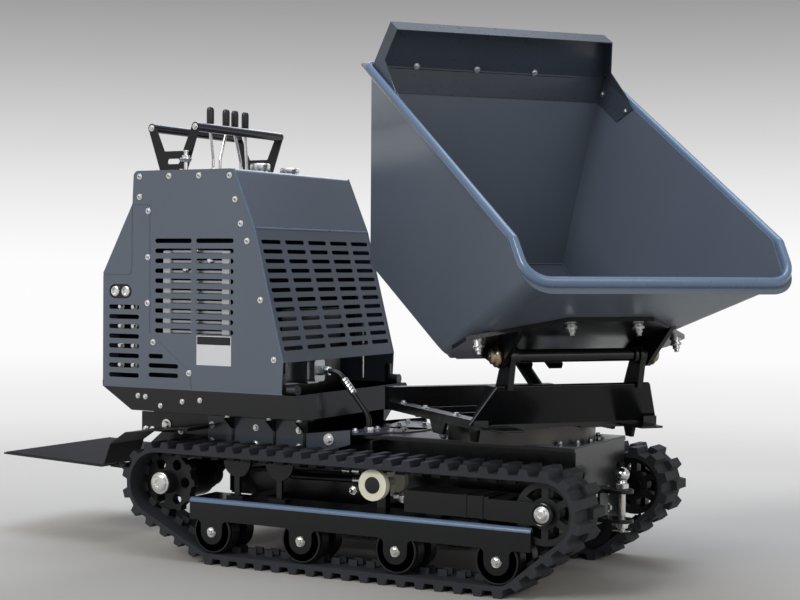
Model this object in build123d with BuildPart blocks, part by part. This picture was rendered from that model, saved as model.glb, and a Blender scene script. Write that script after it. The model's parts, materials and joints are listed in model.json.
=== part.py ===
import os
from math import atan2, cos, degrees, hypot, radians, sin

from build123d import *

# Overall stance, millimetres: +X is straight ahead, the ground is Z = 0
lane = 400
track_width = 200
link_pitch = 72
carcass = 16
lug_height = 22
lug_base = 40
lug_tip = 26

# Running gear
roller_radius = 80
roller_count = 4
roller_spacing = 378
first_roller_x = -507
roller_z = lug_height + carcass + roller_radius
roller_wheel = 42
roller_gap = 50
axle_radius = 14
sprocket_x = -750
sprocket_z = 274
sprocket_radius = 116
sprocket_web = 34
sprocket_teeth = 11
tooth_reach = 13
tooth_root = 40
lightening_holes = 6
hub_radius = 42
idler_x = 788
idler_z = 284
idler_radius = 105
idler_wheel = 40
carrier_x = 155
carrier_radius = 54
carrier_clearance = 3
carrier_half = 80
carrier_flange = 26
carrier_z = sprocket_z + sprocket_radius - carrier_radius - carrier_clearance

# Track frames
frame_half = 88
frame_plate = 8
frame_rear = -603
frame_front = 749
idler_room = 12
frame_top = 236
frame_skirt = 158
lobe_radius = 46
rail_tube = 34
frame_bend = 13
lobe_blend = 18
skid_places = (-453, -271)
skid_radius = 58
skid_z = 368
skid_half = 6
skid_foot = 70
skid_stem = 22
skid_teeth = 5
skid_tooth = 10

# Tensioner on the track frame
box_rear = 275
box_foot = 60
box_bottom = 252
box_top = 325
box_half = 72
sleeve_rear = 591
sleeve_front = 656
fork_bottom = 252
fork_top = 321
fork_eye = 37
fork_plate = 14
thread_length = 75
thread_radius = 14

# Drive motors
motor_radius = 70
motor_length = 110
motor_flange = 12

# Chassis
web_y = 200
web_thickness = 10
web_bottom = 300
web_top = 460
web_rear = -900
deck_thickness = 12
deck_half = 235
deck_rear = -60
deck_nose = 793
nose_bottom = 190
nose_half = 225
tie_y = 165
tie_z = 372
tie_radius = 18
cross_size = 70
cross_places = (-420, 60, 540)
bed_rail_y = 290
bed_rail_rear = -976
bed_rail_front = -45
bed_rail_bottom = 440
bed_rail_top = 515
side_plate_rear = -666
side_plate_front = -232
side_plate_bottom = 385
side_step = 472
side_rise = 22
side_ribs = (-545, -361, -232)
rib_foot = 5
rib_reach = 60

# Engine bed and hood
bed_plate = 6
bed_z = 530
bed_rear = -935
bed_front = -190
skirt_rear = -1072
skirt_front = -262
hood_half = 405
sheet = 3
hood_bottom = 615
hood_rear = -1073
hood_rear_top = 1045
hood_step_x = -935
hood_step_z = 1305
hood_top_rear = -929
hood_top = 1428
hood_top_front = -474
brow_x = -383
brow_z = 1213
hood_front = -258
grille_bottom = 730
seat_gap = 0.3
hood_corner = 22
groove = 4
groove_depth = 1.5
vent_columns = (-744, -557)
vent_length = 167
vent_height = 17
vent_rows = 10
vent_top = 1166
vent_pitch = 37.1
rear_vent_x = -973
rear_vent_length = 143
rear_vent_rows = 8
rear_vent_top = 917
rear_vent_pitch = 36.7
low_vents = ((-823, 736, 67), (-788, 701, 137), (-788, 666, 137))
socket_x = -990
socket_z = 976
socket_length = 106
socket_height = 54
door_line = ((-852, 1299), (-850, 821), (-670, 686), (-656, 615))
console_z = 1038
grille_columns = 5
grille_rows = 12
grille_pitch = 158
grille_row_pitch = 36
grille_slot = 128
grille_height = 16

# Engine and pump
engine_length = 420
engine_width = 420
engine_height = 380
engine_x = -600
pump_length = 150
pump_y = -150
pump_z = 690
pump_blocks = ((0, 16, 120, 110), (16, 100, 84, 96), (100, 128, 70, 80), (128, 150, 34, 34))
pump_corner = 10
pump_port = 60
port_radius = 18
port_reach = 66
hose_radius = 10
hose_lead = 60
hose_foot_x = -50
hose_bend = 70

# Handles and levers
handle_half = 290
handle_z = 1597
handle_front = -731
handle_rear = -934
handle_radius = 17
bracket_plate = 8
bracket_foot = 120
notch_half = 45
notch_depth = 90
bracket_slot = 60
bracket_slot_width = 20
bracket_slot_z = 40
lever_radius = 6
lever_knob = 14
lever_knob_length = 36
lever_boot = 12
lever_straight = 60
lever_bend = 25
lever_top = 1655
lever_foot_x = -800
lever_feet = (-78, -31, 109, 152)
lever_knobs = (-97, 8, 68, 140)

# Swing frame, its own frame has the slew axis at U = 0
ring_setback = 303
slew_x = deck_nose - ring_setback
slew_angle = -40
ring_radius = 262
ring_wall = 17
ring_height = 66
swing_half = 340
swing_rear = -480
swing_front = 358
swing_plate = 12
swing_rail = 50
side_top = 573
side_depth = 30
well_half = 300
well_rear = -275
slot_rear = -255
rib_plate = 10
rib_places = (-180, 60)
middle_room = 60
beam_foot_u = 339
beam_foot_z = 557
beam_lean_u = 410
beam_plate = 12
beam_top = 687
beam_half = 348
beam_top_half = 283
cheek_plate = 10
rest_room = 5
rest_length = 50

# Skip, drawn level in the swing frame and then tipped about its pivot
pivot_u = 408
pivot_z = 788
pivot_half = 300
pivot_radius = 22
bearing_gap = 0.1
tip_angle = 28
wall = 4
floor_z = 632
floor_rear = -521
floor_front = 167
floor_rear_half = 400
floor_front_half = 332
rim_z = 1349
rim_rear = -690
rim_side_end = 649
rim_rear_half = 470
rim_front_half = 447
lip_u = 812
lip_z = 1267
lip_half = 441
lip_bend = 60
rim_flange = 30
rim_band = 8

# Tilt frame, distances run up the slope of the skip's front wall
tilt_plate = 14
tilt_low = 60
tilt_shoulder = 200
tilt_corner = 320
tilt_end = 560
tilt_wide = 404
tilt_narrow = 153

# Spill guard
guard_top = 1524
guard_fold = 80
guard_sheet = 3
guard_top_half = 433
guard_low = 1262
guard_wing = 295
guard_front = -300
guard_shoulder = 1405

# Tip cylinder
barrel_pin_u = 290
barrel_pin_z = 566
barrel_radius = 22
barrel_length = 430
bore_depth = 30
rod_radius = 14
rod_length = 438
rod_eye_u = -215
rod_eye_z = 560
eye_radius = 22
eye_bar = 28
rail_half = 25
rail_height = 20
eye_width = 40
pin_radius = 11
lug_plate = 12
lug_gap = 3
pin_head = 8

# Operator platform
platform_half = 330
platform_hinge_x = -1120
platform_hinge_z = 292
platform_length = 500
platform_plate = 6
platform_edge = 30
platform_slope = 2.2
hinge_radius = 12

# Tow hitch
hitch_reach = 80
hitch_x = deck_nose + hitch_reach
ball_radius = 25
ball_lift = 50
clevis_top = 317
clevis_bottom = 215
clevis_plate = 14
hitch_pin = 12
clevis_half = 40


def upright(y):
    """Drawing plane at a distance to the left of the middle, X across and Z up."""
    return Plane.XZ.offset(-y)


swing = Location((slew_x, 0, 0), (0, 0, slew_angle))
rail_y = eye_width / 2 + lug_gap + lug_plate + rail_half - 2
rail_rear = rod_eye_u - 2 * eye_radius
rail_front = floor_front + 40
tip_pose = Location((pivot_u, 0, pivot_z), (0, tip_angle, 0)) * Location((-pivot_u, 0, -pivot_z))
skip_place = swing * tip_pose


def tipped(u, z):
    """Where a point of the level skip goes when it is tipped, still in the swing frame."""
    angle = radians(tip_angle)
    du = u - pivot_u
    dz = z - pivot_z
    return pivot_u + du * cos(angle) + dz * sin(angle), pivot_z - du * sin(angle) + dz * cos(angle)


os.makedirs("parts", exist_ok=True)


def write(name, label, place=Location()):
    """Put a finished piece where it stands and write it."""
    name.part = name.part.moved(place)
    name.part.label = label
    export_step(name.part, "parts/" + label + ".step")


sides = {"left": 1, "right": -1}
roller_places = [first_roller_x + i * roller_spacing for i in range(roller_count)]


top_plate_front = idler_x - idler_radius - idler_room


# Tracks
def loop_face(thickness):
    """Face inside the loop that runs round sprocket, idler and rollers."""
    wheels = [(sprocket_x, sprocket_z, sprocket_radius), (idler_x, idler_z, idler_radius)]
    wheels += [(x, roller_z, roller_radius) for x in (roller_places[0], roller_places[-1])]
    with BuildSketch() as face:
        for x, z, radius in wheels:
            with Locations((x, z)):
                Circle(radius + thickness)
        make_hull()
    return face.sketch


loop_inside = loop_face(0)
loop_outside = loop_face(carcass)
loop_edge = loop_outside.face().outer_wire()
link_count = round(loop_edge.length / link_pitch)
probe = loop_edge.position_at(0) + loop_edge.tangent_at(0).rotate(Axis.Z, 90) * lug_height
outward_turn = -90 if loop_outside.face().is_inside(probe) else 90


def lugged_outline(phase):
    """Corners of the outer outline, four to each lug, square to the loop."""
    corners = []
    profile = ((-lug_base, 0), (-lug_tip, lug_height), (lug_tip, lug_height), (lug_base, 0))
    for i in range(link_count):
        for half, height in profile:
            t = ((i + phase) / link_count + half / 2 / loop_edge.length) % 1
            spot = loop_edge.position_at(t)
            out = loop_edge.tangent_at(t).rotate(Axis.Z, outward_turn)
            corners.append((spot.X + out.X * height, spot.Y + out.Y * height))
    return corners


def make_track(y, label):
    with BuildPart() as track:
        for phase, end in ((0, 1), (0.5, -1)):
            with BuildSketch(upright(y + end * track_width / 4)):
                with BuildLine():
                    Polyline(*lugged_outline(phase), close=True)
                make_face()
                add(loop_inside, mode=Mode.SUBTRACT)
            extrude(amount=track_width / 4, both=True)
    write(track, label)


# Rollers, two wheels each side of the guide horns on one axle
def make_rollers(y, label):
    with BuildPart() as rollers:
        for x in roller_places:
            for end in (-1, 1):
                with BuildSketch(upright(y + end * (roller_gap + roller_wheel) / 2)):
                    with Locations((x, roller_z)):
                        Circle(roller_radius - seat_gap)
                extrude(amount=roller_wheel / 2, both=True)
            with BuildSketch(upright(y)):
                with Locations((x, roller_z)):
                    Circle(roller_radius * 0.45)
            extrude(amount=roller_gap / 2, both=True)
            with BuildSketch(upright(y)):
                with Locations((x, roller_z)):
                    Circle(axle_radius)
            extrude(amount=frame_half - frame_plate, both=True)
    write(rollers, label)


def make_carrier(y, label):
    with BuildPart() as carrier:
        with BuildSketch(upright(y)):
            with Locations((carrier_x, carrier_z)):
                Circle(axle_radius)
        extrude(amount=carrier_half, both=True)
        for end in (-1, 1):
            with BuildSketch(upright(y + end * (carrier_half - carrier_flange / 2))):
                with Locations((carrier_x, carrier_z)):
                    Circle(carrier_radius)
            extrude(amount=carrier_flange / 2, both=True)
    write(carrier, label)


# Drive sprocket with its gearmotor behind it
def make_sprocket(y, label):
    with BuildPart() as sprocket:
        with BuildSketch(upright(y)) as disc:
            with Locations((sprocket_x, sprocket_z)):
                Circle(sprocket_radius - tooth_reach)
                with PolarLocations(sprocket_radius - tooth_reach, sprocket_teeth):
                    with Locations(Location((0, 0, 0), (0, 0, -90))):
                        Trapezoid(tooth_root, 2 * (tooth_reach - 1), 65)
                with PolarLocations(sprocket_radius * 0.62, lightening_holes):
                    Circle(sprocket_radius * 0.17, mode=Mode.SUBTRACT)
        extrude(amount=sprocket_web / 2, both=True)
        with BuildSketch(upright(y)):
            with Locations((sprocket_x, sprocket_z)):
                Circle(hub_radius)
        extrude(amount=frame_half - 20, both=True)
    write(sprocket, label)


def make_motor(y, end, label):
    inner = y - end * (frame_half - 20 + motor_length / 2)
    with BuildPart() as motor:
        with BuildSketch(upright(inner)):
            with Locations((sprocket_x, sprocket_z)):
                Circle(motor_radius)
        extrude(amount=motor_length / 2, both=True)
    write(motor, label)


def make_idler(y, label):
    with BuildPart() as idler:
        for end in (-1, 1):
            with BuildSketch(upright(y + end * (roller_gap + idler_wheel) / 2)):
                with Locations((idler_x, idler_z)):
                    Circle(idler_radius - seat_gap)
                    Circle(idler_radius * 0.8, mode=Mode.SUBTRACT)
                    Circle(idler_radius * 0.5)
                    for turn in range(3):
                        Rectangle(2 * idler_radius * 0.85, 24, rotation=60 * turn + 30)
                    Circle(axle_radius + seat_gap, mode=Mode.SUBTRACT)
            extrude(amount=idler_wheel / 2, both=True)
        with BuildSketch(upright(y)):
            with Locations((idler_x, idler_z)):
                Circle(idler_radius * 0.4)
                Circle(axle_radius + seat_gap, mode=Mode.SUBTRACT)
        extrude(amount=roller_gap / 2, both=True)
    write(idler, label)


# Tensioner: fork round the idler, sleeve and adjusting rod on top of the track frame
def make_tensioner(y, label):
    with BuildPart() as tensioner:
        for end in (-1, 1):
            with BuildSketch(upright(y + end * (frame_half - fork_plate / 2))):
                with BuildLine():
                    Polyline(
                        (sleeve_front - 1, fork_bottom),
                        (sleeve_front - 1, fork_top),
                        (idler_x, idler_z + fork_eye),
                        (idler_x, idler_z - fork_eye),
                        close=True,
                    )
                make_face()
                with Locations((idler_x, idler_z)):
                    Circle(fork_eye)
            extrude(amount=fork_plate / 2, both=True)
        for rear, front, bottom, top, half in (
            (sleeve_rear, sleeve_front, fork_bottom, fork_top, frame_half),
            (box_rear, sleeve_rear, box_bottom, box_top, box_half),
            (box_rear + box_foot, box_rear + 2 * box_foot, frame_top, box_bottom, box_foot / 2),
        ):
            with BuildSketch(upright(y)):
                with Locations(((rear + front) / 2, (bottom + top) / 2)):
                    Rectangle(front - rear, top - bottom)
            extrude(amount=half, both=True)
        with BuildSketch(Plane.YZ.offset(box_rear - thread_length)):
            with Locations((y, (box_bottom + box_top) / 2)):
                Circle(thread_radius)
        extrude(amount=thread_length)
        with BuildSketch(upright(y)):
            with Locations((idler_x, idler_z)):
                Circle(axle_radius)
        extrude(amount=frame_half, both=True)
    write(tensioner, label)


def make_track_frame(y, label):
    with BuildPart() as track_frame:
        for end in (-1, 1):
            with BuildSketch(upright(y + end * (frame_half - frame_plate / 2))) as face:
                with Locations(((frame_rear + frame_front) / 2, (frame_top + frame_skirt) / 2)):
                    Rectangle(frame_front - frame_rear, frame_top - frame_skirt)
                for x in roller_places:
                    with Locations((x, roller_z)):
                        Circle(lobe_radius)
                    with Locations((x, (roller_z + frame_skirt) / 2)):
                        Rectangle(2 * lobe_radius, frame_skirt - roller_z)
                nooks = face.vertices().filter_by_position(
                    Axis.Y, frame_skirt - 1, frame_skirt + 1
                ).filter_by_position(Axis.X, frame_rear + 1, frame_front - 1)
                fillet(nooks, lobe_blend)
            extrude(amount=frame_plate / 2, both=True)
        with BuildSketch(upright(y)):
            with Locations(((frame_rear + top_plate_front) / 2, frame_top - frame_plate / 2)):
                Rectangle(top_plate_front - frame_rear, frame_plate)
        extrude(amount=frame_half, both=True)
        rims = track_frame.edges().filter_by(Axis.X).filter_by_position(
            Axis.Z, frame_top - 0.1, frame_top + 0.1
        ).sort_by(Axis.Y)
        fillet([rims[0], rims[-1]], frame_bend)
        for x in skid_places:
            with BuildSketch(upright(y)):
                with Locations((x, skid_z)):
                    Circle(skid_radius)
                with Locations((x, skid_z + skid_radius / 2)):
                    Rectangle(2 * skid_radius, skid_radius, mode=Mode.SUBTRACT)
                with Locations((x, (frame_top + skid_z) / 2)):
                    Rectangle(skid_stem, skid_z - frame_top)
                with Locations((x, skid_z + skid_tooth / 2)):
                    with GridLocations(2 * skid_tooth, 1, skid_teeth, 1):
                        Rectangle(skid_tooth, skid_tooth)
            extrude(amount=skid_half, both=True)
            with BuildSketch(Plane.XY.offset(frame_top)):
                with Locations((x, y)):
                    Rectangle(skid_foot, skid_stem * 2)
            extrude(amount=frame_plate)
        with BuildSketch(upright(y)):
            with Locations((carrier_x, (carrier_z + frame_top) / 2)):
                Rectangle(rail_tube, carrier_z - frame_top)
            with Locations((carrier_x, carrier_z)):
                Circle(rail_tube / 2)
                Circle(axle_radius + seat_gap, mode=Mode.SUBTRACT)
        extrude(amount=rail_tube / 2, both=True)
    write(track_frame, label)


for side_name, side in sides.items():
    make_track(side * lane, "track_" + side_name)
    make_rollers(side * lane, "rollers_" + side_name)
    make_carrier(side * lane, "carrier_roller_" + side_name)
    make_sprocket(side * lane, "sprocket_" + side_name)
    make_motor(side * lane, side, "drive_motor_" + side_name)
    make_idler(side * lane, "idler_" + side_name)
    make_tensioner(side * lane, "tensioner_" + side_name)
    make_track_frame(side * lane, "track_frame_" + side_name)


# Chassis: two webs, cross tubes to the track frames, deck and nose plate
with BuildPart() as chassis:
    for side in (-1, 1):
        with BuildSketch(upright(side * web_y)):
            with BuildLine():
                Polyline(
                    (web_rear, web_bottom + 60),
                    (web_rear, web_top),
                    (deck_nose - deck_thickness, web_top),
                    (deck_nose - deck_thickness, nose_bottom),
                    (deck_nose - 160, nose_bottom),
                    (deck_nose - 260, web_bottom - 60),
                    (cross_places[0], web_bottom - 140),
                    (cross_places[0] - 120, web_bottom),
                    close=True,
                )
            make_face()
        extrude(amount=web_thickness / 2, both=True)
    for x in cross_places:
        with BuildSketch(upright(0)):
            with Locations((x, frame_top - cross_size / 2)):
                Rectangle(cross_size, cross_size)
        extrude(amount=lane - frame_half, both=True)
    with BuildSketch(Plane.XY.offset(web_top)):
        with Locations(((deck_rear + deck_nose) / 2, 0)):
            Rectangle(deck_nose - deck_rear, 2 * deck_half)
    extrude(amount=deck_thickness)
    with BuildSketch(Plane.YZ.offset(deck_nose - deck_thickness)):
        with Locations((0, (nose_bottom + web_top) / 2)):
            Rectangle(2 * nose_half, web_top - nose_bottom)
    extrude(amount=deck_thickness)
    with BuildSketch(Plane.YZ.offset(deck_nose - 2 * deck_thickness)):
        with Locations((tie_y, tie_z), (-tie_y, tie_z)):
            Circle(tie_radius)
    extrude(amount=3 * deck_thickness, mode=Mode.SUBTRACT)
    with BuildSketch(Plane.XY.offset(web_top)):
        with Locations(((bed_rail_rear + deck_rear) / 2, 0)):
            Rectangle(deck_rear - bed_rail_rear, 2 * bed_rail_y)
    extrude(amount=deck_thickness / 2)
    for side in (-1, 1):
        with BuildSketch(upright(side * (bed_rail_y - web_thickness / 2))):
            with BuildLine():
                Polyline(
                    (bed_rail_rear, bed_rail_bottom),
                    (bed_rail_rear, bed_rail_top),
                    (side_plate_front, bed_rail_top),
                    (side_plate_front, side_step),
                    (bed_rail_front, side_step + side_rise),
                    (bed_rail_front, bed_rail_bottom),
                    (side_plate_front, side_plate_bottom),
                    (side_plate_rear, side_plate_bottom),
                    (side_plate_rear, bed_rail_bottom),
                    close=True,
                )
            make_face()
        extrude(amount=web_thickness / 2, both=True)
    for side in (-1, 1):
        for x in side_ribs:
            with BuildSketch(Plane.YZ.offset(x)):
                with BuildLine():
                    Polyline(
                        (side * (bed_rail_y - 1), side_plate_bottom),
                        (side * (bed_rail_y + rib_foot), side_plate_bottom),
                        (side * (bed_rail_y + rib_foot), side_step),
                        (side * (bed_rail_y + rib_reach), bed_rail_top),
                        (side * (bed_rail_y - 1), bed_rail_top),
                        close=True,
                    )
                make_face()
            extrude(amount=-web_thickness)
    for side in (-1, 1):
        for x in cross_places[:2]:
            with BuildSketch(upright(side * (web_y + bed_rail_y) / 2)):
                with Locations((x - 20, web_top - 40)):
                    Rectangle(web_thickness, 80)
            extrude(amount=(bed_rail_y - web_y) / 2, both=True)
write(chassis, "chassis_frame")

# Engine bed, a tray with slanted skirts
with BuildPart() as bed:
    with BuildSketch(upright(0)):
        with BuildLine():
            Polyline(
                (bed_rear, bed_z),
                (skirt_rear, hood_bottom - seat_gap),
                (skirt_front + 60, hood_bottom - seat_gap),
                (bed_front + 30, bed_z),
                close=True,
            )
        make_face()
    extrude(amount=hood_half, both=True)
    offset(amount=-bed_plate, openings=bed.faces().sort_by(Axis.Z)[-1])
    for side in (-1, 1):
        with BuildSketch(upright(side * (bed_rail_y - web_thickness / 2))):
            with Locations(((bed_rear + bed_front) / 2, (bed_rail_top + seat_gap + bed_z) / 2)):
                Rectangle(bed_front - bed_rear - 40, bed_z - bed_rail_top - seat_gap)
        extrude(amount=web_thickness, both=True)
write(bed, "engine_bed")


# Hood panels
hood_profile = [
    (hood_rear, hood_bottom),
    (hood_rear, hood_rear_top),
    (hood_step_x, hood_step_z),
    (hood_top_rear, hood_top),
    (hood_top_front, hood_top),
    (brow_x, brow_z),
    (hood_front, grille_bottom),
    (hood_front - 6, hood_bottom),
]


def side_panel(side, label):
    outside = upright(side * hood_half)
    with BuildPart() as panel:
        with BuildSketch(upright(side * (hood_half - sheet / 2))) as face:
            with BuildLine():
                Polyline(*hood_profile, close=True)
            make_face()
            fillet(face.vertices().sort_by(Axis.Y)[-2:], hood_corner)
            for row in range(vent_rows):
                with Locations(*[(x, vent_top - row * vent_pitch) for x in vent_columns]):
                    SlotOverall(vent_length, vent_height, mode=Mode.SUBTRACT)
            for row in range(rear_vent_rows):
                with Locations((rear_vent_x, rear_vent_top - row * rear_vent_pitch)):
                    SlotOverall(rear_vent_length, vent_height, mode=Mode.SUBTRACT)
            for x, z, length in low_vents:
                with Locations((x, z)):
                    SlotOverall(length, vent_height, mode=Mode.SUBTRACT)
            with Locations((socket_x, socket_z)):
                SlotOverall(socket_length, socket_height, mode=Mode.SUBTRACT)
        extrude(amount=sheet / 2, both=True)
        with BuildSketch(outside):
            with BuildLine() as seam:
                Polyline((hood_step_x, hood_step_z - groove), *door_line)
            trace(seam.line, groove)
        extrude(amount=groove_depth, both=True, mode=Mode.SUBTRACT)
        with BuildSketch(outside):
            with BuildLine() as console:
                FilletPolyline(
                    (hood_step_x, hood_step_z - groove),
                    (hood_step_x, console_z),
                    (hood_rear, console_z),
                    radius=hood_corner,
                )
            trace(console.line, groove)
        extrude(amount=groove_depth, both=True, mode=Mode.SUBTRACT)
    write(panel, label)


for side_name, side in sides.items():
    side_panel(side, "hood_side_" + side_name)


def bent(points, half, radius=0):
    """Bent sheet whose outer face is the polyline, its thickness going inwards."""
    with BuildLine() as outer:
        if radius:
            FilletPolyline(*points, radius=radius)
        else:
            Polyline(*points)
    with BuildPart() as panel:
        with BuildSketch(upright(0)):
            with BuildLine():
                add(outer.line)
                offset(outer.line, amount=sheet, side=Side.RIGHT, closed=True)
            make_face()
        extrude(amount=half, both=True)
    return panel


def along(start, end, distance):
    """Point at a distance from the start on the way to the end."""
    share = distance / hypot(end[0] - start[0], end[1] - start[1])
    return start[0] + share * (end[0] - start[0]), start[1] + share * (end[1] - start[1])


panel_half = hood_half - sheet
write(bent(hood_profile[0:3], panel_half), "hood_rear_panel")
write(bent(hood_profile[2:6], panel_half, hood_corner), "hood_top_cover")
grille_line = [along(hood_profile[5], hood_profile[6], sheet), hood_profile[6]]
grille_length = hypot(hood_front - brow_x, brow_z - grille_bottom)
grille_face = Plane(
    origin=((brow_x + hood_front) / 2, 0, (brow_z + grille_bottom) / 2),
    x_dir=(0, 1, 0),
    z_dir=((brow_z - grille_bottom) / grille_length, 0, (hood_front - brow_x) / grille_length),
)
with BuildPart() as grille:
    add(bent(grille_line, panel_half).part)
    with BuildSketch(grille_face):
        with GridLocations(grille_pitch, grille_row_pitch, grille_columns, grille_rows):
            SlotOverall(grille_slot, grille_height)
    extrude(amount=2 * sheet, both=True, mode=Mode.SUBTRACT)
write(grille, "hood_grille")

# Engine as one block on the bed, and the pump in front of it
with BuildPart() as engine:
    with BuildSketch(Plane.XY.offset(bed_z + bed_plate)):
        with Locations((engine_x, 0)):
            Rectangle(engine_length, engine_width)
    extrude(amount=engine_height)
write(engine, "engine_block")

pump_rear = engine_x + engine_length / 2
with BuildPart() as pump:
    for start, end, width, height in pump_blocks:
        with BuildSketch(Plane.YZ.offset(pump_rear + start)):
            with Locations((pump_y, pump_z)):
                RectangleRounded(width, height, pump_corner)
        extrude(amount=end - start)
    with BuildSketch(Plane.XY.offset(pump_z)):
        with Locations((pump_rear + pump_port, pump_y)):
            Circle(port_radius)
    extrude(amount=port_reach)
write(pump, "hydraulic_pump")

# Pressure hose from the pump down to the deck
hose_top = (pump_rear + pump_length, pump_y, pump_z)
with BuildPart() as hose:
    with BuildLine() as route:
        FilletPolyline(
            (hose_top[0] + seat_gap, hose_top[1], hose_top[2]),
            (hose_top[0] + hose_lead, hose_top[1], hose_top[2]),
            (hose_foot_x, hose_top[1], web_top + deck_thickness + hose_lead),
            (hose_foot_x, hose_top[1], web_top + deck_thickness + seat_gap),
            radius=hose_bend,
        )
    with BuildSketch(Plane(origin=route.line @ 0, z_dir=route.line % 0)):
        Circle(hose_radius)
    sweep()
write(hose, "pump_hose")

# Handle bars with their end brackets
with BuildPart() as handle:
    for x in (handle_front, handle_rear):
        with BuildSketch(upright(0)):
            with Locations((x, handle_z)):
                Circle(handle_radius)
        extrude(amount=handle_half, both=True)
    for side in (-1, 1):
        with BuildSketch(upright(side * (handle_half - bracket_plate / 2))):
            with BuildLine():
                middle = (handle_front + handle_rear) / 2
                Polyline(
                    (handle_rear - handle_radius, handle_z),
                    (handle_rear + handle_radius, handle_z),
                    (middle - notch_half, handle_z - notch_depth),
                    (middle + notch_half, handle_z - notch_depth),
                    (handle_front - handle_radius, handle_z),
                    (handle_front + handle_radius, handle_z),
                    (middle + bracket_foot / 2, hood_top),
                    (middle - bracket_foot / 2, hood_top),
                    close=True,
                )
            make_face()
            with Locations((middle, hood_top + bracket_slot_z)):
                SlotOverall(bracket_slot, bracket_slot_width, mode=Mode.SUBTRACT)
        extrude(amount=bracket_plate / 2, both=True)
        with BuildSketch(Plane.XY.offset(hood_top)):
            with Locations((middle, side * (handle_half - bracket_foot / 4))):
                Rectangle(bracket_foot, bracket_foot / 2)
        extrude(amount=bracket_plate)
write(handle, "handle_frame")

# Control levers, each cranked from its foot to its knob
with BuildPart() as levers:
    for foot_y, knob_y in zip(lever_feet, lever_knobs):
        with BuildLine() as crank:
            FilletPolyline(
                (lever_foot_x, foot_y, hood_top),
                (lever_foot_x, foot_y, hood_top + lever_straight),
                (lever_foot_x, knob_y, lever_top - lever_straight),
                (lever_foot_x, knob_y, lever_top),
                radius=lever_bend,
            )
        with BuildSketch(Plane(origin=crank.line @ 0, z_dir=crank.line % 0)):
            Circle(lever_radius)
        sweep(path=crank.line)
        with BuildSketch(Plane.XY.offset(hood_top)):
            with Locations((lever_foot_x, foot_y)):
                Circle(lever_boot)
        extrude(amount=lever_boot)
        with BuildSketch(Plane.XY.offset(lever_top - lever_knob_length / 2)):
            with Locations((lever_foot_x, knob_y)):
                Circle(lever_knob)
        extrude(amount=lever_knob_length)
        for end in (-1, 1):
            with Locations((lever_foot_x, knob_y, lever_top + end * lever_knob_length / 2)):
                Sphere(lever_knob)
write(levers, "control_levers")

# Tow hitch: clevis on the nose, pin and ball
with BuildPart() as hitch:
    for z in (clevis_top - clevis_plate, clevis_bottom - clevis_plate):
        with BuildSketch(Plane.XY.offset(z)):
            with Locations(((deck_nose + hitch_x) / 2, 0)):
                Rectangle(hitch_x - deck_nose, 2 * clevis_half)
            with Locations((hitch_x, 0)):
                Circle(clevis_half)
        extrude(amount=clevis_plate)
    with BuildSketch(Plane.YZ.offset(deck_nose)):
        with Locations((0, (clevis_top + clevis_bottom - clevis_plate) / 2)):
            Rectangle(2 * clevis_half, clevis_top - clevis_bottom + clevis_plate)
    extrude(amount=clevis_plate)
    with BuildSketch(Plane.XY.offset(clevis_bottom - 50)):
        with Locations((hitch_x, 0)):
            Circle(hitch_pin)
    extrude(amount=clevis_top - clevis_bottom + 100)
    with Locations((hitch_x, 0, clevis_top + ball_lift)):
        Sphere(ball_radius)
write(hitch, "tow_hitch")


# Mudguards behind the tracks, carried by the chassis rails
def make_mudguard(y, label):
    with BuildPart() as guard:
        with BuildSketch(upright(y)):
            with BuildLine() as line:
                Polyline((-990, 330), (-960, 410), (-890, 455), (-600, 488))
            trace(line.line, sheet)
        extrude(amount=track_width / 2, both=True)
        with BuildSketch(upright(0.5 * (y + (bed_rail_y if y > 0 else -bed_rail_y)))):
            with Locations((-700, 470)):
                Rectangle(40, 16)
        extrude(amount=abs(abs(y) - bed_rail_y) / 2, both=True)
    write(guard, label)


for side_name, side in sides.items():
    make_mudguard(side * lane, "mudguard_" + side_name)

# Platform bracket and the operator platform that folds up on it
platform_place = Location((platform_hinge_x, 0, platform_hinge_z), (0, platform_slope, 0))
with BuildPart() as bracket:
    for side in (-1, 1):
        with BuildSketch(upright(side * web_y)):
            with BuildLine():
                Polyline(
                    (web_rear - 0, web_top - 10),
                    (web_rear - 20, web_top - 10),
                    (platform_hinge_x - 20, platform_hinge_z - 20),
                    (platform_hinge_x + 30, platform_hinge_z - 30),
                    (web_rear, web_bottom + 60),
                    close=True,
                )
            make_face()
        extrude(amount=web_thickness / 2, both=True)
        with BuildSketch(upright(side * web_y)):
            with Locations((platform_hinge_x, platform_hinge_z)):
                Circle(hinge_radius - 2)
        extrude(amount=30, both=True)
write(bracket, "platform_bracket")

with BuildPart() as platform:
    with BuildSketch(Plane.XY):
        with Locations((-platform_length / 2 - 20, 0)):
            Rectangle(platform_length, 2 * platform_half)
    extrude(amount=platform_plate)
    for side in (-1, 1):
        for offset_y in (-22, 22):
            with BuildSketch(Plane.XZ.offset(-side * web_y - offset_y)):
                with BuildLine():
                    Polyline((0, -14), (0, 14), (-60, 6), (-60, -14), close=True)
                make_face()
                Circle(14)
                Circle(hinge_radius - 1, mode=Mode.SUBTRACT)
            extrude(amount=5, both=True)
write(platform, "operator_platform", platform_place)

# Slewing ring on the deck and the swing frame above it
deck_top = web_top + deck_thickness
ring_top = deck_top + ring_height
with BuildPart() as ring:
    with BuildSketch(Plane.XY.offset(deck_top)):
        Circle(ring_radius)
        Circle(ring_radius - ring_wall, mode=Mode.SUBTRACT)
    extrude(amount=ring_height)
write(ring, "slewing_ring", Location((slew_x, 0, 0)))

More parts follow.
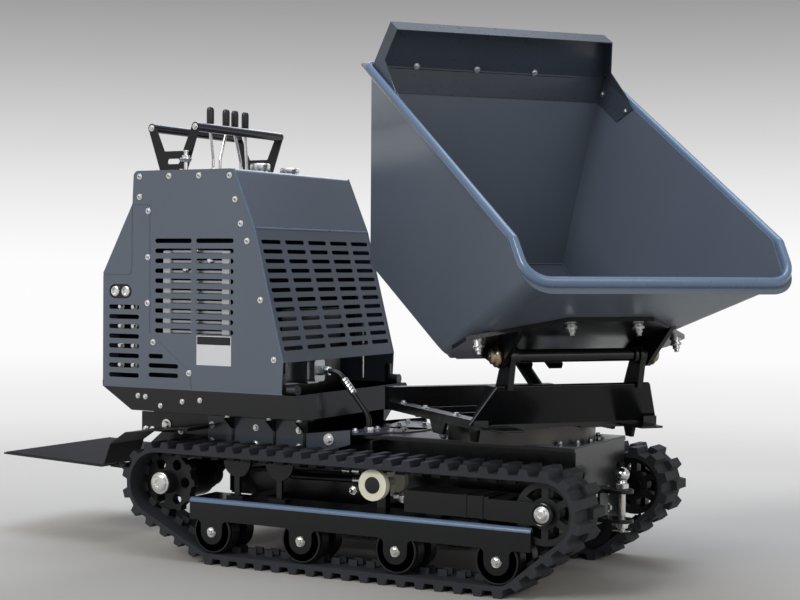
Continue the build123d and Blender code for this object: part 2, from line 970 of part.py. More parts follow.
swing_bottom = ring_top + seat_gap
swing_top = swing_bottom + swing_plate
side_bottom = side_top - side_depth
beam_run = hypot(beam_lean_u - beam_foot_u, beam_top - beam_foot_z)
beam_rise = (beam_top - beam_foot_z) / beam_run
beam_lean = (beam_lean_u - beam_foot_u) / beam_run
beam_face = Plane(origin=(beam_foot_u, 0, beam_foot_z), x_dir=(0, 1, 0), z_dir=(beam_rise, 0, -beam_lean))
with BuildPart() as swing_frame:
    with BuildSketch(Plane.XY.offset(swing_bottom)):
        with Locations(((beam_foot_u + well_rear) / 2, 0)):
            Rectangle(beam_foot_u - well_rear, 2 * well_half)
        with Locations(((beam_foot_u + slot_rear) / 2, 0)):
            Rectangle(beam_foot_u - slot_rear, 2 * middle_room, mode=Mode.SUBTRACT)
    extrude(amount=swing_plate)
    for side in (-1, 1):
        with BuildSketch(upright(side * (swing_half - swing_rail / 2))):
            with Locations(((swing_rear + swing_front) / 2, side_top - side_depth / 2)):
                Rectangle(swing_front - swing_rear, side_depth)
        extrude(amount=swing_rail / 2, both=True)
        for u in rib_places:
            with BuildSketch(Plane.YZ.offset(u)):
                with Locations((side * (middle_room + swing_half) / 2, (swing_bottom + side_top) / 2)):
                    Rectangle(swing_half - middle_room - rib_plate, side_top - swing_bottom)
            extrude(amount=rib_plate)
        with BuildSketch(Plane.XY.offset(side_bottom)):
            with Locations((beam_foot_u - swing_rail / 2, side * (middle_room + swing_half) / 2)):
                Rectangle(swing_rail, swing_half - middle_room)
        extrude(amount=side_depth)
    with BuildSketch(Plane.XY.offset(side_bottom)):
        with Locations((swing_rear + rest_length / 2, 0)):
            Rectangle(rest_length, 2 * swing_half)
    extrude(amount=floor_z - rest_room - side_bottom)
    with BuildSketch(beam_face):
        with BuildLine():
            Polyline(
                (-beam_half, 0),
                (beam_half, 0),
                (beam_top_half, beam_run),
                (-beam_top_half, beam_run),
                close=True,
            )
        make_face()
    extrude(amount=-beam_plate)
    with BuildSketch(upright(0)):
        with Locations((beam_lean_u - 46, beam_top - beam_plate / 2)):
            Rectangle(80, beam_plate)
    extrude(amount=beam_top_half, both=True)
    for side in (-1, 1):
        with BuildSketch(upright(side * (beam_top_half - cheek_plate / 2))):
            with BuildLine():
                Polyline(
                    (beam_foot_u - 150, side_bottom),
                    (beam_foot_u - beam_plate / 2, side_bottom),
                    (beam_lean_u - beam_plate / 2, beam_top),
                    (beam_lean_u - 90, beam_top),
                    close=True,
                )
            make_face()
        extrude(amount=cheek_plate / 2, both=True)
        with BuildSketch(upright(side * (pivot_half - 60))):
            with BuildLine():
                Polyline(
                    (pivot_u - 90, beam_top - beam_plate),
                    (pivot_u - 36, pivot_z),
                    (pivot_u + 36, pivot_z),
                    (beam_lean_u + 10, beam_top - beam_plate),
                    close=True,
                )
            make_face()
            with Locations((pivot_u, pivot_z)):
                Circle(38)
                Circle(pivot_radius + bearing_gap, mode=Mode.SUBTRACT)
        extrude(amount=10, both=True)
        with BuildSketch(upright(side * (eye_width / 2 + lug_gap + lug_plate / 2))):
            with Locations(((barrel_pin_u + beam_foot_u) / 2, barrel_pin_z)):
                Rectangle(beam_foot_u - barrel_pin_u, 2 * eye_radius)
            with Locations((barrel_pin_u, barrel_pin_z)):
                Circle(eye_radius)
        extrude(amount=lug_plate / 2, both=True)
    with BuildSketch(upright(0)):
        with Locations((barrel_pin_u, barrel_pin_z)):
            Circle(pin_radius)
    extrude(amount=eye_width / 2 + lug_gap + lug_plate, both=True)
    with BuildSketch(upright(0)):
        with Locations(((barrel_pin_u + eye_bar + beam_foot_u) / 2, barrel_pin_z)):
            Rectangle(beam_foot_u - barrel_pin_u - eye_bar, 2 * eye_radius)
    extrude(amount=middle_room + 10, both=True)
write(swing_frame, "swing_frame", swing)


# Skip tub, level in the swing frame
def ring_points(rear, rear_half, shoulder, shoulder_half, front, front_half, grow):
    """Six plan corners of a level section, moved outwards by an amount."""
    return [
        (rear - grow, -rear_half - grow),
        (shoulder + grow, -shoulder_half - grow),
        (front + grow, -front_half - grow),
        (front + grow, front_half + grow),
        (shoulder + grow, shoulder_half + grow),
        (rear - grow, rear_half + grow),
    ]


slope_run = (lip_u - floor_front) / (lip_z - floor_z)
rim_point = floor_front + slope_run * (rim_z - floor_z)


def tub_solid(grow, bottom):
    """Tapered body between the floor outline and the rim outline."""
    with BuildPart() as body:
        with BuildSketch(Plane.XY.offset(bottom)):
            drop = (floor_z - bottom) * slope_run
            corners = ring_points(
                floor_rear, floor_rear_half, floor_front - 90, floor_front_half + 12,
                floor_front - drop, floor_front_half, grow
            )
            Polygon(*corners, align=None)
        with BuildSketch(Plane.XY.offset(rim_z + 2 * wall)):
            corners = ring_points(
                rim_rear, rim_rear_half, rim_side_end, rim_front_half, rim_point + 2 * wall * slope_run,
                lip_half, grow
            )
            Polygon(*corners, align=None)
        loft(ruled=True)
        corner_edges = body.edges().filter_by(lambda edge: edge.bounding_box().size.Z > lip_bend)
        fillet(corner_edges.sort_by(Axis.X)[-2:], lip_bend + grow)
    return body.part


def under_rim(depth, above):
    """Side view area between a depth under the rim line and a height above it."""
    reach = rim_point + 200
    fall = (rim_z - lip_z) / (lip_u - rim_side_end)
    end_z = rim_z - fall * (reach - rim_side_end)
    with BuildPart() as band:
        with BuildSketch(upright(0)):
            with BuildLine():
                Polyline(
                    (rim_rear - 300, rim_z + above),
                    (rim_side_end, rim_z + above),
                    (reach, end_z + above),
                    (reach, end_z - depth),
                    (rim_side_end, rim_z - depth),
                    (rim_rear - 300, rim_z - depth),
                    close=True,
                )
            make_face()
        extrude(amount=2 * rim_rear_half, both=True)
    return band.part


tub_outer = tub_solid(0, floor_z)
tub_inner = tub_solid(-wall, floor_z + wall)
tub_flange = tub_solid(rim_flange, floor_z)
above_rim = under_rim(0, 400)
rim_strip = under_rim(rim_band, 0)

with BuildPart() as tub:
    add(tub_flange)
    add(rim_strip, mode=Mode.INTERSECT)
    add(tub_outer)
    add(tub_inner, mode=Mode.SUBTRACT)
    add(above_rim, mode=Mode.SUBTRACT)
write(tub, "skip_tub", skip_place)


# Spill guard bolted inside the rear rim
def guard_solid(inset):
    """Solid inside the rear rim and above it, smaller than the tub by an inset."""
    with BuildPart() as body:
        add(tub_solid(-wall - inset, floor_z + wall))
        with BuildSketch(Plane.XY.offset(rim_z + 2 * wall)):
            corners = ring_points(
                rim_rear, rim_rear_half, guard_front, rim_rear_half, guard_front + wall,
                rim_front_half, -wall - inset
            )
            Polygon(*corners, align=None)
        with BuildSketch(Plane.XY.offset(guard_top)):
            corners = ring_points(
                rim_rear, guard_top_half, guard_front, guard_top_half, guard_front + wall,
                guard_top_half - wall, -wall - inset
            )
            Polygon(*corners, align=None)
        loft(ruled=True)
    return body.part


guard_outer = guard_solid(seat_gap)
guard_inner = guard_solid(seat_gap + guard_sheet)
with BuildPart() as spill:
    with BuildSketch(upright(0)):
        with BuildLine():
            Polyline(
                (rim_rear, guard_low),
                (rim_rear, guard_top),
                (rim_rear + guard_fold, guard_top),
                (rim_rear + guard_fold, guard_shoulder),
                (rim_rear + guard_wing, rim_z),
                (rim_rear + guard_wing - guard_fold, guard_low),
                close=True,
            )
        make_face()
    extrude(amount=rim_rear_half, both=True)
    add(guard_outer, mode=Mode.INTERSECT)
    add(guard_inner, mode=Mode.SUBTRACT)
    with BuildSketch(Plane.XY.offset(guard_top - guard_sheet)):
        with Locations((rim_rear + wall + guard_sheet / 2 + guard_fold / 2, 0)):
            Rectangle(guard_fold - wall, 2 * (guard_top_half - wall - guard_sheet))
    extrude(amount=guard_sheet)
write(spill, "spill_guard", skip_place)

# Tilt frame under the skip: plate on the sloping front wall, ears and the pivot shaft
slope = degrees(atan2(lip_z - floor_z, lip_u - floor_front))
run = radians(slope)
slope_face = Plane(
    origin=(floor_front + seat_gap, 0, floor_z - seat_gap), x_dir=(0, 1, 0), z_dir=(sin(run), 0, -cos(run))
)
with BuildPart() as tilt_frame:
    with BuildSketch(slope_face):
        with BuildLine():
            Polyline(
                (-floor_front_half, tilt_low),
                (-tilt_wide, tilt_shoulder),
                (-tilt_wide, tilt_corner),
                (-tilt_narrow, tilt_end),
                (tilt_narrow, tilt_end),
                (tilt_wide, tilt_corner),
                (tilt_wide, tilt_shoulder),
                (floor_front_half, tilt_low),
                close=True,
            )
        make_face()
    extrude(amount=tilt_plate)
    for side in (-1, 1):
        with BuildSketch(upright(side * (pivot_half - 30))):
            with BuildLine():
                Polyline(
                    (floor_front + 120 * cos(run) + 10, floor_z + 120 * sin(run) - 6),
                    (floor_front + 480 * cos(run) + 10, floor_z + 480 * sin(run) - 6),
                    (pivot_u + 40, pivot_z),
                    (pivot_u, pivot_z - 40),
                    close=True,
                )
            make_face()
            with Locations((pivot_u, pivot_z)):
                Circle(40)
        extrude(amount=8, both=True)
    for side in (-1, 1):
        with BuildSketch(upright(side * (eye_width / 2 + lug_gap + lug_plate / 2))):
            with Locations((rod_eye_u, (rod_eye_z + floor_z - seat_gap) / 2)):
                Rectangle(2 * eye_radius, floor_z - seat_gap - rod_eye_z)
            with Locations((rod_eye_u, rod_eye_z)):
                Circle(eye_radius)
        extrude(amount=lug_plate / 2, both=True)
        with BuildSketch(upright(side * rail_y)):
            with Locations(((rail_rear + rail_front) / 2, floor_z - seat_gap - rail_height / 2)):
                Rectangle(rail_front - rail_rear, rail_height)
        extrude(amount=rail_half, both=True)
        with BuildSketch(upright(side * (eye_width / 2 + lug_gap + lug_plate + pin_head / 2))):
            with Locations((rod_eye_u, rod_eye_z)):
                Circle(pin_radius)
        extrude(amount=pin_head / 2, both=True)
    with BuildSketch(upright(0)):
        with Locations((pivot_u, pivot_z)):
            Circle(pivot_radius)
    extrude(amount=pivot_half, both=True)
write(tilt_frame, "tilt_frame", skip_place)

# Tip cylinder between the swing frame and the tilt frame
eye_now = tipped(rod_eye_u, rod_eye_z)
ram_length = hypot(eye_now[0] - barrel_pin_u, eye_now[1] - barrel_pin_z)
ram_angle = -degrees(atan2(eye_now[1] - barrel_pin_z, eye_now[0] - barrel_pin_u))
ram_place = swing * Location((barrel_pin_u, 0, barrel_pin_z), (0, ram_angle, 0))
with BuildPart() as barrel:
    with BuildSketch(Plane.YZ.offset(eye_radius)):
        Circle(barrel_radius)
    extrude(amount=barrel_length - eye_radius)
    with BuildSketch(upright(0)):
        Circle(eye_radius)
        with Locations((eye_radius / 2 + 4, 0)):
            Rectangle(eye_radius, 2 * eye_radius - 6)
    extrude(amount=eye_width / 2, both=True)
    with BuildSketch(upright(0)):
        Circle(pin_radius + bearing_gap)
    extrude(amount=eye_width, both=True, mode=Mode.SUBTRACT)
    with BuildSketch(Plane.YZ.offset(eye_radius + bore_depth)):
        Circle(rod_radius + 0.5)
    extrude(amount=barrel_length, mode=Mode.SUBTRACT)
write(barrel, "tip_cylinder_barrel", ram_place)

with BuildPart() as rod:
    with BuildSketch(Plane.YZ.offset(ram_length - rod_length)):
        Circle(rod_radius)
    extrude(amount=rod_length - eye_radius / 2)
    with BuildSketch(upright(0)):
        with Locations((ram_length, 0)):
            Circle(eye_radius - 2)
    extrude(amount=eye_width / 2, both=True)
write(rod, "tip_cylinder_rod", ram_place)
print("links", link_count, "ram", round(ram_length, 1), round(ram_angle, 2), "slope", round(slope, 2))
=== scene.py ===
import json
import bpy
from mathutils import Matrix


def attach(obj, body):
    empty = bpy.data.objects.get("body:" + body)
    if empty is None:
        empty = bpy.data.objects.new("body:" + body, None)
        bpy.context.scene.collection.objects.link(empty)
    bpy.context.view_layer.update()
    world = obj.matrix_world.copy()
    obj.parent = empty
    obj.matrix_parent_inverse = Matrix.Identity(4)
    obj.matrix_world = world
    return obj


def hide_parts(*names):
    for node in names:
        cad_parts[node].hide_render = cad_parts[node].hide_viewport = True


bl_info = {
    "name": "Tracked site dumper",
    "version": (1, 0, 0),
    "blender": (4, 5, 0),
    "location": "3D View > Sidebar > Dumper",
    "description": "Dresses the CAD frame of a tracked site dumper with finishes, fasteners and fittings",
    "category": "Object",
}

from math import acos, atan2, cos, hypot, pi, radians, sin

import bmesh
import bpy
from bpy.props import FloatProperty, FloatVectorProperty, IntProperty, PointerProperty
from mathutils import Matrix, Vector

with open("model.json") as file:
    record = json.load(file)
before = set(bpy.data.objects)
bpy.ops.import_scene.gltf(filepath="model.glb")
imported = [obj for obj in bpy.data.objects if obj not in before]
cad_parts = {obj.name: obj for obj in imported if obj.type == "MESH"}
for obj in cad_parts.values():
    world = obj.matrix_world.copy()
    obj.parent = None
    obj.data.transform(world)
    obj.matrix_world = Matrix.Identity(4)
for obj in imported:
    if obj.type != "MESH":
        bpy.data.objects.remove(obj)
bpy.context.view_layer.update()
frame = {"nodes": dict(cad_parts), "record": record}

AHEAD = Vector((1, 0, 0))
UP = Vector((0, 0, 1))
# Distance of each track's middle from the machine's
LANE = 0.400
# The swing frame's own axes are U ahead and V to its left, turned about the slew axis at rest
SLEW_X = 0.490
SLEW_TURN = radians(-40)
# The skip is level in its own axes, and tipped about the pivot's U and Z at rest
PIVOT = (0.408, 0.788)
TIP = radians(28)


def rgb(text):
    """Linear colour of an sRGB hex value."""
    parts = [int(text[i:i + 2], 16) / 255 for i in (1, 3, 5)]
    return tuple(c / 12.92 if c <= 0.04045 else ((c + 0.055) / 1.055) ** 2.4 for c in parts)


def rgba(colour):
    """Linear colour with full alpha of an sRGB hex value or of a colour property."""
    return (*(rgb(colour) if isinstance(colour, str) else colour), 1.0)


def swing_point(u, v, z):
    """Row-frame point of a place on the swing frame, all in metres."""
    x = SLEW_X + u * cos(SLEW_TURN) - v * sin(SLEW_TURN)
    return Vector((x, u * sin(SLEW_TURN) + v * cos(SLEW_TURN), z))


def skip_point(u, v, z):
    """Row-frame point of a place on the level skip, tipped and slewed as at rest."""
    du = u - PIVOT[0]
    dz = z - PIVOT[1]
    return swing_point(PIVOT[0] + du * cos(TIP) + dz * sin(TIP), v, PIVOT[1] - du * sin(TIP) + dz * cos(TIP))


def swing_vector(u, v, z):
    """Row-frame direction of one in the swing frame's axes."""
    return swing_point(u, v, z) - swing_point(0, 0, 0)


def skip_vector(u, v, z):
    """Row-frame direction of one in the level skip's axes."""
    return skip_point(u, v, z) - skip_point(0, 0, 0)


# Finishes -----------------------------------------------------------------
def feed(tree, node, inputs):
    """Links each of a node's inputs to a socket, or sets it to a value."""
    for socket, source in inputs.items():
        if isinstance(source, bpy.types.NodeSocket):
            tree.links.new(source, node.inputs[socket])
        else:
            node.inputs[socket].default_value = source


def add_node(tree, kind, inputs=None, stops=(), **settings):
    """Adds a node with its settings and inputs, and with the (position, colour) stops of a ramp."""
    node = tree.nodes.new(kind)
    for key, value in settings.items():
        setattr(node, key, value)
    feed(tree, node, inputs or {})
    if stops:
        elements = node.color_ramp.elements
        elements[0].position, elements[-1].position = stops[0][0], stops[-1][0]
        for position, _ in stops[1:-1]:
            elements.new(position)
        for element, (_, colour) in zip(elements, stops):
            element.color = rgba(colour)
    return node


def coated(name, colour, second, rough, grain, relief, blotch=0.35, metal=0.0, coat=0.0, edge=0.0012, spread=0.06,
           shine=0.5):
    """Surface with a fine grain in relief and a slow drift of tone between two colours."""
    mat = bpy.data.materials.new(name)
    mat.use_nodes = True
    tree = mat.node_tree
    place = add_node(tree, "ShaderNodeTexCoord").outputs["Object"]
    slow = add_node(tree, "ShaderNodeTexNoise", {"Vector": place, "Scale": 1 / blotch, "Detail": 4.0})
    tone = add_node(
        tree, "ShaderNodeMix", {"Factor": slow.outputs["Fac"], 6: rgba(colour), 7: rgba(second)}, data_type="RGBA"
    )
    fine = add_node(tree, "ShaderNodeTexNoise", {"Vector": place, "Scale": 1 / grain, "Detail": 3.0}).outputs["Fac"]
    sheen = add_node(tree, "ShaderNodeMapRange", {"Value": fine, "To Min": rough - spread, "To Max": rough + spread})
    relieved = {"Height": fine, "Strength": 0.6, "Distance": relief}
    if edge:
        relieved["Normal"] = add_node(tree, "ShaderNodeBevel", {"Radius": edge}, samples=4).outputs["Normal"]
    bump = add_node(tree, "ShaderNodeBump", relieved)
    feed(tree, tree.nodes["Principled BSDF"], {
        "Base Color": tone.outputs[2], "Roughness": sheen.outputs["Result"], "Normal": bump.outputs["Normal"],
        "Metallic": metal, "Specular IOR Level": shine, "Coat Weight": coat, "Coat Roughness": 0.12,
    })
    return mat


FINISH = {}


def make_finishes(sizes):
    """Makes every finish, its grain, relief and blotch in metres."""
    # Powder coat over folded steel: a satin slate grey with fine orange peel
    FINISH["slate"] = coated(
        "powder_coat_slate", sizes.paint_colour, "#5a626e", 0.36, 0.006, 0.00006, coat=0.15, shine=0.4
    )
    # The same coat over a rolled edge, painted bluer and brighter to stand for the sky's reflection on it; its peel is
    # drawn coarser than real to show
    FINISH["edge"] = coated(
        "rolled_edge_painted_sky_reflection", sizes.rim_reflection_colour, "#5c738e", 0.28, 0.02, 0.00001, coat=0.3, spread=0.02
    )
    # Gloss black enamel on welded steel: deep black with bright narrow reflections, its waviness drawn coarser
    FINISH["black"] = coated(
        "gloss_black_enamel", sizes.enamel_colour, "#111214", 0.24, 0.02, 0.00002, coat=0.1, shine=0.35
    )
    # Slate enamel on the pressed side plates: the same gloss with a blue-grey body
    FINISH["side"] = coated("gloss_slate_enamel", "#3a404a", "#434a55", 0.24, 0.008, 0.00006, coat=0.2, shine=0.4)
    # Darker slate enamel on the spill guard, brighter where its folds face the sky, its waviness drawn coarser
    FINISH["guard"] = coated(
        "gloss_enamel_guard", "#333a44", "#3a424d", 0.28, 0.02, 0.00001, coat=0.2, spread=0.02, shine=0.4
    )
    # Black enamel over a sand casting: rougher, with a pebbled skin
    FINISH["cast"] = coated("black_sand_casting", "#111214", "#191a1c", 0.42, 0.004, 0.0004, blotch=0.1, shine=0.4)
    # Carbon-filled rubber: dull dark grey with a dusty bloom
    FINISH["rubber"] = coated(
        "track_rubber_compound", "#222327", "#313237", 0.7, 0.003, 0.0003, blotch=0.12, edge=0.003, shine=0.3
    )
    # Cast nylon: waxy cream
    FINISH["nylon"] = coated("cast_nylon_cream", "#dedbc8", "#d0ccb9", 0.42, 0.01, 0.00005, blotch=0.08)
    # Bright zinc plate on turned steel: pale metal with a soft blur
    FINISH["zinc"] = coated("bright_zinc_plate", "#e4e4e2", "#d4d3cf", 0.28, 0.004, 0.00005, blotch=0.05, metal=1.0)
    # Hard chrome on a ground rod: mirror bright
    FINISH["chrome"] = coated(
        "hard_chrome", "#dcdee0", "#d0d2d4", 0.1, 0.01, 0.00001, metal=1.0, edge=0.0, spread=0.03
    )
    # Die-cast aluminium: pale grey, matt, with a granular skin
    FINISH["alloy"] = coated("die_cast_aluminium", "#c3c5c7", "#b2b4b7", 0.42, 0.003, 0.0002, blotch=0.05, metal=1.0)
    # Printed aluminium sheet left blank: an even white satin
    FINISH["plate"] = coated("white_lacquered_plate", "#d4d5d6", "#cdcecf", 0.4, 0.004, 0.00002, edge=0.0)
    # Turned slewing ring steel: warm mid grey with a soft sheen
    FINISH["ring"] = coated("machined_ring_steel", "#55534f", "#474643", 0.36, 0.004, 0.00008, blotch=0.08, metal=0.6)
    # Matt black felt and soot on the inner walls of the engine bay
    # Matt near-black that paints shade: inside the engine bay behind its slots, and along the spill guard's creases
    FINISH["shade_black"] = coated("engine_bay_painted_shade", "#08090a", "#0d0e0f", 0.85, 0.006, 0.0002, edge=0.0, shine=0.1)
    # Enamel worn to bright steel where parts rub
    FINISH["worn"] = coated("rubbed_steel", "#8d8f92", "#77797c", 0.34, 0.003, 0.0001, blotch=0.03, metal=1.0)
    # Turned bronze bush with a grease stain
    FINISH["bronze"] = coated("greased_bronze", "#b39a7c", "#8f8579", 0.3, 0.006, 0.0001, blotch=0.02, metal=1.0)
    # Vulcanised tread mat: matt black with fine grain
    FINISH["tread"] = coated("tread_mat_rubber", "#17181a", "#202124", 0.55, 0.003, 0.0003, blotch=0.1, shine=0.4)
    # Injection moulded polypropylene: black with a leather-fine texture
    FINISH["moulded"] = coated("moulded_polypropylene", "#111214", "#18191b", 0.38, 0.002, 0.0002, blotch=0.15)


SLOT_FINISH = {
    "grey_paint": "slate",
    "frame_black": "black",
    "cast_black": "cast",
    "track_rubber": "rubber",
    "nylon": "nylon",
    "zinc": "zinc",
    "rod_chrome": "chrome",
    "aluminium": "alloy",
    "tread_black": "tread",
    "moulded_black": "moulded",
    "hose_rubber": "moulded",
    "ring_steel": "ring",
}
NODE_FINISH = {"spill_guard": "guard"}


# Kit of meshes ------------------------------------------------------------
class Kit:
    """A mesh under construction, with a material slot for each finish that it uses."""

    def __init__(self):
        self.mesh = bmesh.new()
        self.finishes = []

    def paint(self, faces, finish, smooth=False):
        if finish not in self.finishes:
            self.finishes.append(finish)
        slot = self.finishes.index(finish)
        for face in faces:
            face.material_index = slot
            face.smooth = smooth

    def prism(self, outline, base, across, up, depth, finish, bevel=0.0):
        """Extrudes a flat outline, given along two directions from a base point, by a depth vector."""
        base, across, up, depth = Vector(base), Vector(across), Vector(up), Vector(depth)
        low = [self.mesh.verts.new(base + across * a + up * b) for a, b in outline]
        high = [self.mesh.verts.new(v.co + depth) for v in low]
        faces = [self.mesh.faces.new(low), self.mesh.faces.new(high[::-1])]
        for i in range(len(low)):
            j = (i + 1) % len(low)
            faces.append(self.mesh.faces.new((low[i], high[i], high[j], low[j])))
        bmesh.ops.recalc_face_normals(self.mesh, faces=faces)
        self.paint(faces, finish)
        if bevel:
            edges = {edge for face in faces for edge in face.edges}
            made = bmesh.ops.bevel(
                self.mesh, geom=list(edges), offset=bevel, segments=2, affect="EDGES", clamp_overlap=True
            )
            self.paint(made["faces"], finish)

    def box(self, low, high, finish, bevel=0.0):
        """Box between two corners in the row frame."""
        (x0, y0, z0), (x1, y1, z1) = low, high
        outline = ((0, 0), (x1 - x0, 0), (x1 - x0, y1 - y0), (0, y1 - y0))
        self.prism(outline, low, (1, 0, 0), (0, 1, 0), (0, 0, z1 - z0), finish, bevel)

    def turned(self, profile, base, axis, finish, segments=32):
        """Turns a profile of (radius, height) pairs about an axis from a base point."""
        base, axis = Vector(base), Vector(axis).normalized()
        side = axis.orthogonal().normalized()
        other = axis.cross(side)
        rings = []
        for radius, height in profile:
            if radius < 1e-6:
                rings.append([self.mesh.verts.new(base + axis * height)])
                continue
            ring = []
            for i in range(segments):
                turn = 2 * pi * i / segments
                ring.append(self.mesh.verts.new(
                    base + axis * height + (side * cos(turn) + other * sin(turn)) * radius
                ))
            rings.append(ring)
        faces = []
        for low, high in zip(rings, rings[1:]):
            for i in range(segments):
                j = (i + 1) % segments
                corners = [low[i % len(low)], low[j % len(low)], high[j % len(high)], high[i % len(high)]]
                unique = list(dict.fromkeys(corners))
                if len(unique) > 2:
                    faces.append(self.mesh.faces.new(unique))
        for ring in (rings[0], rings[-1]):
            if len(ring) > 1:
                faces.append(self.mesh.faces.new(ring))
        bmesh.ops.recalc_face_normals(self.mesh, faces=faces)
        self.paint(faces, finish, smooth=True)

    def tube(self, points, radius, finish, segments=16, closed=False, stretch=None):
        """Sweeps a circle along points, carrying its frame without twist, taller along a stretch vector."""
        points = [Vector(point) for point in points]
        count = len(points)
        rings = []
        side = None
        for i, point in enumerate(points):
            ahead = points[(i + 1) % count] if closed or i + 1 < count else point
            behind = points[i - 1] if closed or i else point
            along = (ahead - behind).normalized()
            side = along.orthogonal() if side is None else side - along * side.dot(along)
            side.normalize()
            other = along.cross(side)
            ring = []
            for k in range(segments):
                turn = 2 * pi * k / segments
                offset = (side * cos(turn) + other * sin(turn)) * radius
                if stretch:
                    offset += stretch * offset.dot(stretch)
                ring.append(self.mesh.verts.new(point + offset))
            rings.append(ring)
        faces = []
        for low, high in zip(rings, rings[1:]):
            for k in range(segments):
                j = (k + 1) % segments
                faces.append(self.mesh.faces.new((low[k], low[j], high[j], high[k])))
        if closed:
            low, high = rings[-1], rings[0]
            shift = min(range(segments), key=lambda n: (low[0].co - high[n].co).length)
            for k in range(segments):
                j = (k + 1) % segments
                faces.append(self.mesh.faces.new(
                    (low[k], low[j], high[(j + shift) % segments], high[(k + shift) % segments])
                ))
        else:
            faces += [self.mesh.faces.new(rings[0]), self.mesh.faces.new(rings[-1])]
        bmesh.ops.recalc_face_normals(self.mesh, faces=faces)
        self.paint(faces, finish, smooth=True)

    def done(self, name, body="chassis", replaces=()):
        mesh = bpy.data.meshes.new(name)
        self.mesh.to_mesh(mesh)
        self.mesh.free()
        for finish in self.finishes:
            mesh.materials.append(FINISH[finish])
        mesh.set_sharp_from_angle(angle=radians(35))
        return place_piece(name, mesh, body, replaces)


def rounded_path(corners, radii, closed=False, steps=6):
    """Points along straight runs between corners, each inner corner turned through an arc."""
    corners = [Vector(corner) for corner in corners]
    count = len(corners)
    radii = radii if isinstance(radii, tuple) else (radii,) * count
    path = []
    for i, corner in enumerate(corners):
        if not closed and i in (0, count - 1):
            path.append(corner)
            continue
        radius = radii[i]
        before = (corners[i - 1] - corner).normalized()
        after = (corners[(i + 1) % count] - corner).normalized()
        half = before.angle(after) / 2
        reach = radius / max(0.2, sin(half) / cos(half))
        middle = corner + (before + after).normalized() * (radius / sin(half))
        start = (corner + before * reach - middle).normalized()
        end = (corner + after * reach - middle).normalized()
        path += [middle + start.slerp(end, k / steps) * radius for k in range(steps + 1)]
    return path


def place_piece(name, mesh, body, replaces=()):
    """Object of a finished mesh that rides on a body."""
    piece = bpy.data.objects.new(name, mesh)
    bpy.context.scene.collection.objects.link(piece)
    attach(piece, body)
    if replaces:
        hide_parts(*replaces)
    return piece


def lifted(tree, shape, height, share=1.0):
    """Shape moved up by a share of a height."""
    lift = add_node(tree, "ShaderNodeMath", {0: height, 1: share}, operation="MULTIPLY")
    up = add_node(tree, "ShaderNodeCombineXYZ", {"Z": lift.outputs[0]})
    moved = add_node(tree, "GeometryNodeTransform", {"Geometry": shape, "Translation": up.outputs[0]})
    return moved.outputs["Geometry"]


def headed(tree, given, sides):
    """Tapered head on a round washer."""
    radius, seat = given["Head radius"], given["Washer height"]
    top = add_node(tree, "ShaderNodeMath", {0: radius, 1: 0.86}, operation="MULTIPLY")
    head = add_node(tree, "GeometryNodeMeshCone", {
        "Radius Bottom": radius, "Radius Top": top.outputs[0], "Depth": given["Head height"], "Vertices": sides,
    })
    washer = add_node(
        tree, "GeometryNodeMeshCylinder", {"Radius": given["Washer radius"], "Depth": seat, "Vertices": 20}
    )
    joined = add_node(tree, "GeometryNodeJoinGeometry", {"Geometry": lifted(tree, washer.outputs["Mesh"], seat, 0.5)})
    feed(tree, joined, {"Geometry": lifted(tree, head.outputs["Mesh"], seat)})
    return joined.outputs["Geometry"]


def block(tree, given, sides):
    """Block that stands on its point."""
    size = add_node(
        tree, "ShaderNodeCombineXYZ", {"X": given["Length"], "Y": given["Width"], "Z": given["Height"]}
    )
    cube = add_node(tree, "GeometryNodeMeshCube", {"Size": size.outputs[0]})
    return lifted(tree, cube.outputs["Mesh"], given["Height"], 0.5)


def repeat_tree(name, finish, values, shape, sides):
    """Geometry nodes that stand a shape on every point, Z along its facing and X along its run."""
    tree = bpy.data.node_groups.new(name, "GeometryNodeTree")
    tree.interface.new_socket("Geometry", in_out="INPUT", socket_type="NodeSocketGeometry")
    tree.interface.new_socket("Geometry", in_out="OUTPUT", socket_type="NodeSocketGeometry")
    for label, value in values.items():
        tree.interface.new_socket(label, in_out="INPUT", socket_type="NodeSocketFloat").default_value = value
    given = add_node(tree, "NodeGroupInput").outputs
    facing, run = (
        add_node(tree, "GeometryNodeInputNamedAttribute", {"Name": name}, data_type="FLOAT_VECTOR").outputs["Attribute"]
        for name in ("facing", "run")
    )
    stood = add_node(tree, "FunctionNodeAlignRotationToVector", {"Vector": facing}, axis="Z")
    turned = add_node(
        tree, "FunctionNodeAlignRotationToVector", {"Rotation": stood.outputs["Rotation"], "Vector": run},
        axis="X", pivot_axis="Z"
    )
    spread = add_node(
        tree, "GeometryNodeInstanceOnPoints",
        {"Points": given["Geometry"], "Instance": shape(tree, given, sides), "Rotation": turned.outputs["Rotation"]}
    )
    real = add_node(tree, "GeometryNodeRealizeInstances", {"Geometry": spread.outputs["Instances"]})
    painted = add_node(
        tree, "GeometryNodeSetMaterial", {"Geometry": real.outputs["Geometry"], "Material": FINISH[finish]}
    )
    add_node(tree, "NodeGroupOutput", {"Geometry": painted.outputs["Geometry"]})
    return tree


